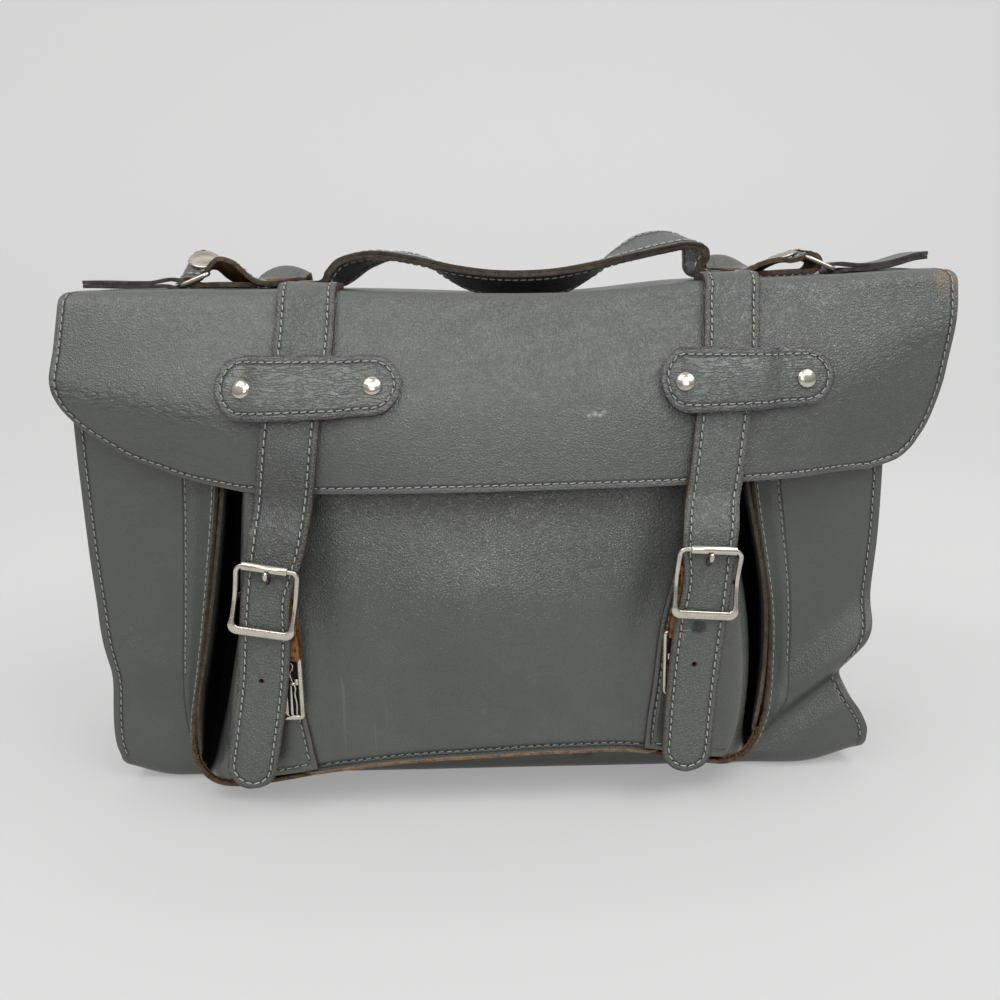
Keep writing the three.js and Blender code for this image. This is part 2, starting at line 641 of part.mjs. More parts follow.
// Riveted loop on the flap that bridges the strap
function keeper({ keeperX, keeperZ, strap: line }) {
  const strapX = (z) => along(line, "z", "x", z) - keeperX;
  const half = along(line, "z", "width", keeperZ) / 2;
  const ends = [41.5, 40.4, 37.5, 33];
  const over = (u, z) => {
    const away = Math.abs(u - strapX(z));
    return (strapThick + seat + 0.2) * (1 - smooth(half + 1, half + 4.4, away));
  };
  const round = (u) => {
    const from = Math.max(Math.abs(u) - (keeperHalf - keeperRise), 0) / keeperRise;
    return keeperRise * Math.max(Math.sqrt(1 - Math.min(from, 1) ** 2), 0.14);
  };
  const face = [1, 0.34, -0.34, -1].map((v) => {
    const mid = strapX(keeperZ + v * keeperRise);
    const bridge = [-4.4, -1].map((m) => mid - half + m);
    const down = [1, 4.4].map((m) => mid + half + m);
    const rest = steps(down[1], 33, 4).slice(1, 3);
    const columns = [...ends.map((m) => -m), ...bridge, mid, ...down, ...rest, ...ends.toReversed()];
    return columns.map((u) => {
      const z = keeperZ + v * round(u);
      return standOff(flapY, keeperX + u, z, seat + keeperThick + over(u, z));
    });
  });
  return wall(face, keeperThick);
}

// Domed cap with a flat back, its axis along +y before it is placed
function cap(radius, height) {
  const profile = [
    [0, 0], [1, 0], [1, 0.3], [0.82, 0.72], [0.45, 0.95], [0, 1],
  ].map(([r, h]) => new THREE.Vector2(radius * r, height * h));
  return new THREE.LatheGeometry(profile, 10);
}

function addRivet(name, x, z) {
  const foot = standOff(flapY, x, z, 2 * seat + keeperThick);
  const ahead = standOff(flapY, x, z, 10).sub(standOff(flapY, x, z, 0)).normalize();
  const rivet = addPiece(name, facingOut(mergedCap(rivetRadius, 2)), nickel);
  rivet.position.copy(foot);
  rivet.quaternion.setFromUnitVectors(point(0, 1, 0), ahead);
}

function mergedCap(radius, height) {
  const bare = cap(radius, height);
  bare.deleteAttribute("normal");
  bare.deleteAttribute("uv");
  return mergeVertices(bare, 1e-4);
}

// Centre-bar buckle, in its own frame at the buckle's centre: bowed frame, roller and prong
const bowY = { top: -97.2, middle: -89.3, bottom: -96.4 };
const buckleHalf = { x: 13.8, top: 14.8, bottom: -15.2 };

function buckleFrame() {
  const { x, top, bottom } = buckleHalf;
  const corner = 2.6;
  const right = [
    [x - corner, bowY.top, top], [x - 0.8, bowY.top, top - 0.8], [x, bowY.top, top - corner],
    [x, -92.8, 7], [x, bowY.middle, 2.5], [x, bowY.middle, -2.5], [x, -92.4, -7.5],
    [x, bowY.bottom, bottom + corner], [x - 0.8, bowY.bottom, bottom + 0.8],
    [x - corner, bowY.bottom, bottom],
  ];
  const left = right.toReversed().map(([a, b, c]) => [-a, b, c]);
  const loop = [...right, ...left].map((p) => point(...p));
  const bar = new THREE.CylinderGeometry(1.2, 1.2, 2 * x, 10).rotateZ(Math.PI / 2).translate(0, -88, 0);
  return join(ringBar(loop, 1.35, 1.2, 8), bar);
}

function roller() {
  const profile = [[1.75, -10.8], [2.35, -10.8], [2.35, 10.8], [1.75, 10.8], [1.75, -10.8]];
  const tube = new THREE.LatheGeometry(profile.map(([r, h]) => new THREE.Vector2(r, h)), 14);
  return tube.rotateZ(Math.PI / 2).translate(0, bowY.top, buckleHalf.top);
}

const prongRun = [
  { y: -86.2, z: -1.4 },
  { y: -87.4, z: -2.4 },
  { y: -89, z: -2.2 },
  { y: -90.3, z: -0.6 },
  { y: -90.7, z: 2.4 },
  { y: -91.8, z: 6.4 },
  { y: -94.4, z: 9 },
  { y: -97.4, z: 10.4 },
  { y: -99.9, z: 12 },
  { y: -100.8, z: 15.2 },
];

function prong() {
  const route = new THREE.CatmullRomCurve3(prongRun.map(({ y, z }) => point(0, y, z)));
  const round = new THREE.Shape().absarc(0, 0, 0.85, 0, 2 * Math.PI);
  return new THREE.ExtrudeGeometry(round, { steps: 12, curveSegments: 3, extrudePath: route });
}

// Doubled leather round the centre bar, with a slot for the prong
const chapeRun = [
  { y: -89.9, z: -29 },
  { y: -89.9, z: -10 },
  { y: -90.5, z: -4.5 },
  { y: -91.4, z: 0 },
  { y: -90.4, z: 2.4 },
  { y: -88, z: 3.4 },
  { y: -85.6, z: 2.4 },
  { y: -84.6, z: 0 },
  { y: -85.3, z: -4.5 },
  { y: -85.9, z: -10 },
  { y: -85.9, z: -29 },
];

function chape(shear) {
  const drift = (z) => shear * smooth(0, 29, -z);
  const face = chapeRun.map(({ y, z }) => [10.2, 0, -10.2].map((x) => point(x + drift(z), y, z)));
  return cut(wall(face, chapeThick), box(3.4, 12, 9).translate(0, -88, 1.5));
}

// Clasp behind the strap: a shallow tray with a spring hook in it
function claspTray() {
  return cut(box(25, 3.4, 34), box(22.4, 3.4, 31.4).translate(0, -1, 0), box(9, 6, 4).translate(0, 0, -13));
}

function claspHook() {
  const crossBar = box(20, 1.3, 3).translate(0, -0.4, 2);
  const spring = box(1.6, 1.6, 22).translate(4.5, -0.5, -2);
  return join(box(12, 0.9, 27), crossBar, spring);
}

function addSide(name, place) {
  addPiece(`keeper_${name}`, keeper(place), strapLeather);
  addRivet(`rivet_${name}_1`, place.keeperX + place.rivetLeft, place.keeperZ - 1);
  addRivet(`rivet_${name}_2`, place.keeperX + place.rivetRight, place.keeperZ - 1);
  const buckle = new THREE.Group();
  buckle.position.set(place.buckleX, 0, place.buckleZ);
  buckle.rotation.y = THREE.MathUtils.degToRad(place.tilt);
  satchel.add(buckle);
  buckle.updateMatrixWorld(true);
  const hole = new THREE.CylinderGeometry(1.5, 1.5, 14, 10).scale(1, 1, 2.3).translate(0, -93.5, 8);
  addPiece(`strap_${name}`, cut(strap(place.strap), hole.applyMatrix4(buckle.matrixWorld)), strapLeather);
  addPiece(`buckle_${name}`, buckleFrame(), nickel, buckle);
  addPiece(`roller_${name}`, fromSolid(toSolid(roller())), nickel, buckle);
  addPiece(`prong_${name}`, fromSolid(toSolid(prong())), nickel, buckle);
  addPiece(`chape_${name}`, chape(place.shear), rawLeather, buckle);
  const clasp = new THREE.Group();
  clasp.position.set(place.claspX, -86.6, place.claspZ);
  satchel.add(clasp);
  addPiece(`clasp_tray_${name}`, claspTray(), nickel, clasp);
  addPiece(`clasp_hook_${name}`, claspHook(), nickel, clasp);
}

// Flat double strap on the top, twisted between its near and far edges
function handle() {
  const at = (name, run) => along(handleRun, "run", name, run);
  const face = steps(0, 17, 32).map((run) => {
    const near = point(at("nearX", run), handleNearY, at("nearZ", run));
    const far = point(at("farX", run), handleFarY, at("farZ", run));
    return [0, 0.5, 1].map((t) => near.clone().lerp(far, t));
  });
  return wall(face, handleThick);
}

// Shoulder strap as a run of stations: the centre of its outer face and the angle of its width
function bandEnd({ sign, foldX, turnX, legX, loop }) {
  const inward = -sign;
  const lowZ = (x) => topZ(x, 0) + seat;
  const rows = loop.map(({ from, over }) => {
    const x = foldX + inward * from;
    return [x, 0, topZ(x, 0) + over];
  });
  const foldZ = lowZ(foldX) + foldRadius;
  for (const angle of [90, 135, 180, 225, 270].map(THREE.MathUtils.degToRad)) {
    const x = foldX + inward * (foldRadius + foldRadius * Math.cos(angle));
    rows.push([x, 0, foldZ + foldRadius * Math.sin(angle)]);
  }
  const flat = rows.map(([x, y, z]) => ({ x, y, z, swing: 0 }));
  for (const x of steps(foldX + inward * 8, turnX, 3)) flat.push({ x, y: 0, z: lowZ(x) + 0.2, swing: 0 });
  for (const swing of [22.5, 45, 67.5, 90]) {
    const angle = THREE.MathUtils.degToRad(swing);
    const x = turnX + inward * turnRadius * Math.sin(angle);
    const y = turnRadius * (1 - Math.cos(angle));
    flat.push({ x, y, z: topZ(x, 0) + seat + 0.2 + 3.4 * smooth(0, 90, swing), swing });
  }
  const crest = topZ(legX, 30);
  for (const [y, over] of [[30, 5.2], [38, 5.4], [45, 3.6], [50, -0.5], [52, -7], [52, -16]]) {
    flat.push({ x: legX, y, z: crest + over, swing: 90 });
  }
  return flat;
}

function shoulderStrap() {
  const [a, b] = [ends.left, ends.right];
  const half = (b.legX - a.legX) / 2;
  const midX = (a.legX + b.legX) / 2;
  const turnAt = hangLowZ + half;
  const startZ = topZ(a.legX, 30) - 16;
  const leg = [0.3, 0.6, 0.9].map((t) => ({
    t, y: mix(52, hangY - bandWidth / 2 + 12, smooth(0, 1, t)), z: mix(startZ, turnAt, t),
  }));
  const stations = bandEnd(a).map((s) => ({ ...s, spin: -90 + s.swing }));
  for (const { t, y, z } of leg) stations.push({ x: a.legX, y, z, spin: 90 * smooth(0, 1, t) });
  for (const angle of steps(180, 360, 13).map(THREE.MathUtils.degToRad)) {
    const x = midX + half * Math.cos(angle);
    stations.push({ x, y: hangY, z: turnAt + half * Math.sin(angle), spin: 90 });
  }
  for (const { t, y, z } of leg.toReversed()) {
    stations.push({ x: b.legX, y, z, spin: 180 - 90 * smooth(0, 1, t) });
  }
  for (const s of bandEnd(b).toReversed()) stations.push({ ...s, spin: 270 - s.swing });
  const face = stations.map(({ x, y, z, spin }) => {
    const angle = THREE.MathUtils.degToRad(spin);
    const side = point(Math.cos(angle), Math.sin(angle), 0);
    return [-0.5, 0.5].map((k) => point(x, y, z).addScaledVector(side, k * bandWidth));
  });
  return wall(face, bandThick);
}

// Wire ring through the strap's fold and the tab's fold
function ringPlace({ sign, foldX }) {
  const holdX = foldX - sign * foldRadius;
  const hold = point(holdX, 0, topZ(foldX, 0) + seat + foldRadius);
  const farX = foldX + sign * 9.5;
  const far = point(farX, 0, topZ(farX, 0) + seat + tabThick + seat + wireRadius);
  return { hold, far };
}

function ring(end) {
  const { hold, far } = ringPlace(end);
  const half = bandWidth / 2 + 1.8;
  const corner = 2.4;
  const length = hold.distanceTo(far);
  const outline = [
    [corner, -half], [length / 2, -half], [length - corner, -half], [length - 0.7, 0.7 - half],
    [length, corner - half], [length, 0], [length, half - corner], [length - 0.7, half - 0.7],
    [length - corner, half], [length / 2, half], [corner, half], [0.7, half - 0.7],
    [0, half - corner], [0, 0], [0, corner - half], [0.7, 0.7 - half],
  ];
  const toFar = far.clone().sub(hold).normalize();
  const loop = outline.map(([u, v]) => hold.clone().addScaledVector(toFar, u).add(point(0, v, 0)));
  return wireLoop(loop, toFar.clone().cross(point(0, 1, 0)).normalize());
}

function wireLoop(loop, flat) {
  const size = loop.length;
  const count = 8;
  const points = [];
  const index = [];
  loop.forEach((p, i) => {
    const ahead = loop[(i + 1) % size].clone().sub(loop[(i + size - 1) % size]).normalize();
    const side = ahead.clone().cross(flat).normalize();
    for (let k = 0; k < count; k += 1) {
      const angle = (2 * Math.PI * k) / count;
      const out = side.clone().multiplyScalar(wireRadius * Math.cos(angle));
      points.push(p.clone().add(out).addScaledVector(flat, wireRadius * Math.sin(angle)));
      const a = i * count + k;
      const b = i * count + ((k + 1) % count);
      const next = ((i + 1) % size) * count - i * count;
      index.push(a, b, b + next, a, b + next, a + next);
    }
  });
  return facingOut(closedGeometry(points, index));
}

// Sewn tab, doubled round the ring's outer bar
function tab(end) {
  const { far } = ringPlace(end);
  const { sign, tabX } = end;
  const reach = wireRadius + seat + tabThick;
  const lowZ = (x) => topZ(x, 0) + seat;
  const line = [[tabX, lowZ(tabX)], [mix(tabX, far.x, 0.5), lowZ(mix(tabX, far.x, 0.5))]];
  line.push([far.x + sign * 6, lowZ(far.x + sign * 6)]);
  for (const angle of [-90, -45, 0, 45, 90].map(THREE.MathUtils.degToRad)) {
    line.push([far.x - sign * reach * Math.cos(angle), far.z + reach * Math.sin(angle)]);
  }
  const over = 2 * tabThick + seat;
  line.push([far.x + sign * 5, lowZ(far.x) + over + 1.4]);
  for (const t of [0.45, 0.75, 0.92]) {
    const x = mix(far.x, tabX, t);
    line.push([x, lowZ(x) + over + 0.3 * smooth(0.4, 0.9, t)]);
  }
  const face = line.map(([x, z]) => [-11, 0, 11].map((y) => point(x, y, z)));
  return wall(sign < 0 ? face.map((row) => row.toReversed()) : face, tabThick);
}

function addEnd(name, end) {
  addPiece(`ring_${name}`, ring(end), nickel);
  addPiece(`tab_${name}`, tab(end), strapLeather);
  const x = end.foldX - end.sign * end.stud;
  const stud = addPiece(`stud_${name}`, facingOut(mergedCap(studRadius, 2.4)), nickel);
  const over = along(end.loop.toReversed(), "from", "over", end.stud);
  stud.position.set(x, 0, topZ(x, 0) + over + 0.9);
  stud.rotation.set(Math.PI / 2, 0, 0);
  stud.rotateZ(THREE.MathUtils.degToRad(end.studTilt));
}

// Assembly
addPiece("front_panel", frontPanel(), greyLeather);
addPiece("back_flap", backFlap(), greyLeather);
addPiece("gusset_left", gusset(-1), greyLeather);
addPiece("gusset_right", gusset(1), greyLeather);
addPiece("pocket_panel", pocketPanel(), greyLeather);
addPiece("pocket_strip_left", pocketStrip(stripLeft, -1), greyLeather);
addPiece("pocket_strip_right", pocketStrip(stripRight, 1), greyLeather);
addPiece("pocket_welt", pocketWelt(), greyLeather);
addSide("left", sides.left);
addSide("right", sides.right);
addPiece("handle", handle(), strapLeather);
addPiece("shoulder_strap", shoulderStrap(), strapLeather);
addEnd("left", ends.left);
addEnd("right", ends.right);

export default satchel;
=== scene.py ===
import math
import random

import bpy
import numpy as np
from mathutils import Matrix, Vector, noise


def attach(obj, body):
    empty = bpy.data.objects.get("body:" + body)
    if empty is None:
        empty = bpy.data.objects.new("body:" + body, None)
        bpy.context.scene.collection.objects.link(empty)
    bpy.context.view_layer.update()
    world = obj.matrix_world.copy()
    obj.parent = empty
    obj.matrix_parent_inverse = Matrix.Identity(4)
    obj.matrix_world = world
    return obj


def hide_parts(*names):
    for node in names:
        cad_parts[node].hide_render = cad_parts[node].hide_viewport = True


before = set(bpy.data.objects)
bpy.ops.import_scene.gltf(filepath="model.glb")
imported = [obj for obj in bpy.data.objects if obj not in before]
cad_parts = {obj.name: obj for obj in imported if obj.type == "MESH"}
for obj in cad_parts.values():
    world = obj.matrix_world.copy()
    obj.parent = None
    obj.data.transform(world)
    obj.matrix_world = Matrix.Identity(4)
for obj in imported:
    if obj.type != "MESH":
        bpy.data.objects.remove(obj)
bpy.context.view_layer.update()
mm = 0.001  # every size below is in millimetres
print("frame loaded:", len(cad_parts), "nodes")


def mix(a, b, t):
    return a + (b - a) * t


def smooth(a, b, at):
    t = min(max((at - a) / (b - a), 0.0), 1.0)
    return t * t * (3 - 2 * t)


def bell(at, middle, width):
    return math.exp(-(((at - middle) / width) ** 2))


def steps(first, last, count):
    return [mix(first, last, i / (count - 1)) for i in range(count)]


def curve(rows, at, column=1):  # smooth line through one column of a table, read at its first column
    last = len(rows) - 1
    if at <= rows[0][0]:
        return rows[0][column]
    if at >= rows[last][0]:
        return rows[last][column]
    i = 0
    while at > rows[i + 1][0]:
        i += 1

    def slope(k):
        a, b = rows[max(k - 1, 0)], rows[min(k + 1, last)]
        return (b[column] - a[column]) / (b[0] - a[0])

    span = rows[i + 1][0] - rows[i][0]
    t = (at - rows[i][0]) / span
    rise = t * t * (3 - 2 * t)
    lead = t * (1 - t) * ((1 - t) * slope(i) - t * slope(i + 1)) * span
    return mix(rows[i][column], rows[i + 1][column], rise) + lead


def depthAcross(table, places, x, z):  # y from a table whose columns stand at several places across
    return curve([(at, curve(table, z, i + 1)) for i, at in enumerate(places)], x)


def offFront(depth, x, z, out):  # point and normal that stand off a front surface y = depth(x, z)
    overX = depth(x + 0.5, z) - depth(x - 0.5, z)
    overZ = depth(x, z + 0.5) - depth(x, z - 0.5)
    normal = Vector((overX, -1, overZ)).normalized()
    return Vector((x, depth(x, z), z)) + normal * out, normal


def sway(point, size, amount):  # small unevenness of soft leather
    return amount * noise.noise(Vector(point) / size)


def selectNone():
    if bpy.context.object and bpy.context.object.mode != "OBJECT":
        bpy.ops.object.mode_set(mode="OBJECT")
    bpy.ops.object.select_all(action="DESELECT")


def makeActive(piece):
    selectNone()
    piece.select_set(True)
    bpy.context.view_layer.objects.active = piece


def applyModifiers(piece):
    makeActive(piece)
    for modifier in list(piece.modifiers):
        bpy.ops.object.modifier_apply(modifier=modifier.name)


def smoothByAngle(piece, degrees):
    makeActive(piece)
    bpy.ops.object.shade_smooth_by_angle(angle=math.radians(degrees))


def joinPieces(pieces, name):
    selectNone()
    for piece in pieces:
        piece.select_set(True)
    bpy.context.view_layer.objects.active = pieces[0]
    bpy.ops.object.join()
    pieces[0].name = name
    return pieces[0]


def settle(piece, slot, *nodes):  # the piece rides on the body and stands for its CAD nodes
    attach(piece, "root")
    if nodes:
        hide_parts(*nodes)
    return piece


def layGrid(name, rows):  # a grid with its points laid in rows
    selectNone()
    bpy.ops.mesh.primitive_grid_add(x_subdivisions=len(rows[0]) - 1, y_subdivisions=len(rows) - 1, size=0.1)
    piece = bpy.context.object
    piece.name = name
    points = np.array([tuple(p) for row in rows for p in row]) * mm
    piece.data.vertices.foreach_set("co", points.ravel())
    return piece


# Sheet of leather: a grid whose points are laid on its outer face, then given its thickness and soft rims
def makeSheet(name, rows, thick, looks, rim=None, roundRim=0.5, paintedShade=None, rawRim=False):
    piece = layGrid(name, rows)
    mesh = piece.data
    mesh.name = name
    far = [60.0] * len(mesh.vertices) if rim is None else [d for row in rim for d in row]
    mesh.attributes.new("rimDistance", "FLOAT", "POINT").data.foreach_set("value", far)
    # per-point painted shade, which the leather look turns dark and dull
    if paintedShade:
        dark = [d for row in paintedShade for d in row]
        mesh.attributes.new("paintedShade", "FLOAT", "POINT").data.foreach_set("value", dark)
    for look in looks:
        mesh.materials.append(look)
    mesh.update()
    solid = piece.modifiers.new("thickness", "SOLIDIFY")
    solid.thickness = thick * mm
    solid.offset = -1
    solid.material_offset = 2
    solid.material_offset_rim = 1
    if roundRim:
        bevel = piece.modifiers.new("softRim", "BEVEL")
        bevel.width = roundRim * mm
        bevel.segments = 2
        bevel.limit_method = "ANGLE"
        bevel.angle_limit = math.radians(55)
        bevel.material = 1 if rawRim else -1
    applyModifiers(piece)
    smoothByAngle(piece, 48)
    return piece


# Bar bent along a closed line: a torus whose rings are laid along the line
def makeRing(name, line, sections, look, across):
    count, around = len(line), 14
    selectNone()
    bpy.ops.mesh.primitive_torus_add(major_segments=count, minor_segments=around,
                                     major_radius=0.02, minor_radius=0.002)
    piece = bpy.context.object
    piece.name = name
    spots = []
    for i, p in enumerate(line):
        ahead = (line[(i + 1) % count] - line[i - 1]).normalized()
        side = ahead.cross(across).normalized()
        up = side.cross(ahead)
        wide, deep, square = sections[i]
        for k in range(around):
            angle = 2 * math.pi * k / around
            c, s = math.cos(angle), math.sin(angle)
            c = math.copysign(abs(c) ** square, c)
            s = math.copysign(abs(s) ** square, s)
            spots.append(p + side * (wide * c) + up * (deep * s))
    piece.data.vertices.foreach_set("co", (np.array([tuple(s) for s in spots]) * mm).ravel())
    piece.data.materials.append(look)
    piece.data.update()
    faceOut(piece)
    smoothByAngle(piece, 50)
    return piece


# Rod along an open line: a grid rolled up round the line, its seam and ends closed
def makeRod(name, line, radii, look, around=12):
    rows = []
    for i, p in enumerate(line):
        ahead = (line[min(i + 1, len(line) - 1)] - line[max(i - 1, 0)]).normalized()
        side = ahead.cross(Vector((0.31, 0.2, 0.93))).normalized()
        up = side.cross(ahead)
        ring = [2 * math.pi * k / around for k in range(around + 1)]
        rows.append([p + (side * math.cos(a) + up * math.sin(a)) * radii[i] for a in ring])
    piece = layGrid(name, rows)
    piece.data.materials.append(look)
    bpy.ops.object.mode_set(mode="EDIT")
    bpy.ops.mesh.select_all(action="SELECT")
    bpy.ops.mesh.remove_doubles(threshold=0.00002)
    bpy.ops.mesh.select_mode(type="VERT")
    bpy.ops.mesh.select_all(action="DESELECT")
    bpy.ops.mesh.select_non_manifold()
    bpy.ops.mesh.fill_holes(sides=0)
    bpy.ops.object.mode_set(mode="OBJECT")
    faceOut(piece)
    smoothByAngle(piece, 50)
    return piece


def faceOut(piece):
    makeActive(piece)
    bpy.ops.object.mode_set(mode="EDIT")
    bpy.ops.mesh.select_all(action="SELECT")
    bpy.ops.mesh.normals_make_consistent(inside=False)
    bpy.ops.object.mode_set(mode="OBJECT")


# Places a piece's mesh: turns its +Z to the given direction and moves it
def placeMesh(piece, at, up):
    turned = Vector((0, 0, 1)).rotation_difference(up).to_matrix().to_4x4()
    piece.data.transform(Matrix.Translation(at * mm) @ turned)
    piece.matrix_world = Matrix.Identity(4)


# Domed metal cap: a cylinder whose top face is inset and raised step by step
def makeCap(name, at, up, look, radius, profile):
    selectNone()
    bpy.ops.mesh.primitive_cylinder_add(vertices=40, radius=radius * mm, depth=profile[0] * mm)
    piece = bpy.context.object
    piece.name = name
    piece.data.transform(Matrix.Translation((0, 0, profile[0] * mm / 2)))
    bpy.ops.object.mode_set(mode="EDIT")
    bpy.ops.mesh.select_all(action="DESELECT")
    bpy.ops.object.mode_set(mode="OBJECT")
    for face in piece.data.polygons:
        face.select = face.normal.z > 0.9
    bpy.ops.object.mode_set(mode="EDIT")
    bpy.ops.mesh.select_mode(type="FACE")
    for inward, rise in profile[1:]:
        bpy.ops.mesh.inset(thickness=inward * mm)
        bpy.ops.transform.translate(value=(0, 0, rise * mm))
    bpy.ops.object.mode_set(mode="OBJECT")
    bevel = piece.modifiers.new("softRim", "BEVEL")
    bevel.width = 0.25 * mm
    bevel.segments = 2
    bevel.angle_limit = math.radians(40)
    applyModifiers(piece)
    piece.data.materials.append(look)
    smoothByAngle(piece, 55)
    placeMesh(piece, at, up)
    return piece


def sRgb(red, green, blue):
    def lin(c):
        c /= 255
        return c / 12.92 if c <= 0.04045 else ((c + 0.055) / 1.055) ** 2.4
    return (lin(red), lin(green), lin(blue), 1)


class Nodes:  # a material's node tree, with short calls to add and join nodes
    def __init__(self, name):
        self.look = bpy.data.materials.new(name)
        self.look.use_nodes = True
        self.tree = self.look.node_tree
        self.shader = self.tree.nodes["Principled BSDF"]
        self.coords = self.tree.nodes.new("ShaderNodeTexCoord").outputs["Object"]

    def add(self, kind, settings=None, values=None):
        node = self.tree.nodes.new("ShaderNode" + kind)
        for key, value in (settings or {}).items():
            setattr(node, key, value)
        for key, value in (values or {}).items():
            if isinstance(value, bpy.types.NodeSocket):
                self.tree.links.new(value, node.inputs[key])
            else:
                node.inputs[key].default_value = value
        return node

    def scaled(self, scale, turn=(0, 0, 0), vector=None):
        values = {"Vector": vector or self.coords, "Scale": scale, "Rotation": turn}
        return self.add("Mapping", None, values).outputs[0]

    def noise(self, scale, detail=2, vector=None, rough=0.5, distortion=0):
        values = {"Vector": vector or self.coords, "Scale": scale, "Detail": detail,
                  "Roughness": rough, "Distortion": distortion}
        return self.add("TexNoise", None, values).outputs["Fac"]

    def cells(self, scale, vector):  # distance to the edges of small cells
        values = {"Vector": vector, "Scale": scale}
        return self.add("TexVoronoi", {"feature": "DISTANCE_TO_EDGE"}, values).outputs["Distance"]

    def calc(self, operation, a, b=0.0):
        return self.add("Math", {"operation": operation}, {0: a, 1: b}).outputs[0]

    def ramp(self, value, low, high, toLow=0.0, toHigh=1.0):
        values = {"Value": value, "From Min": low, "From Max": high, "To Min": toLow, "To Max": toHigh}
        return self.add("MapRange", {"interpolation_type": "SMOOTHSTEP"}, values).outputs["Result"]

    def blend(self, amount, a, b):
        return self.add("Mix", {"data_type": "RGBA"}, {0: amount, 6: a, 7: b}).outputs[2]

    def plus(self, value, extra, weight):  # adds a weighted share of another value
        return self.calc("ADD", value, self.calc("MULTIPLY", extra, weight))

    def axis(self, name):
        return self.add("SeparateXYZ", None, {0: self.coords}).outputs[name]

    def near(self, spot, inner, outer):  # 1 at a spot (in millimetres), fading to 0
        place = Vector(spot) * mm
        away = self.add("VectorMath", {"operation": "DISTANCE"}, {0: self.coords, 1: place}).outputs["Value"]
        return self.ramp(away, inner * mm, outer * mm, 1, 0)

    def rimDistance(self):
        return self.add("Attribute", {"attribute_name": "rimDistance"}).outputs["Fac"]

    def bump(self, height, strength, distance):
        node = self.add("Bump", None, {"Strength": strength, "Distance": distance * mm, "Height": height})
        self.join(node.outputs[0], "Normal")

    def join(self, output, name):
        self.tree.links.new(output, self.shader.inputs[name])

    def set(self, **values):
        for key, value in values.items():
            self.shader.inputs[key].default_value = value


leather = {
    # panelShadeTone is the leather tone darkened as painted shade for the front panel under the flap
    "tone": sRgb(72, 75, 71), "panelShadeTone": sRgb(68, 71, 67),
    "strapTone": sRgb(80, 83, 77), "wornTone": sRgb(88, 74, 58), "darkTone": sRgb(44, 38, 31),
    "grain": 780, "roughness": 0.355, "bump": 0.9, "shine": 0.8,
    "flapCorner": (222, -46, 248), "scuff": (53.7, -79, 193), "stain": (98.9, -95, 95.8),
    "paintedShadeSpot": (-90, -92, 150), "paintedLightSpot": (104, -90, 168),
}


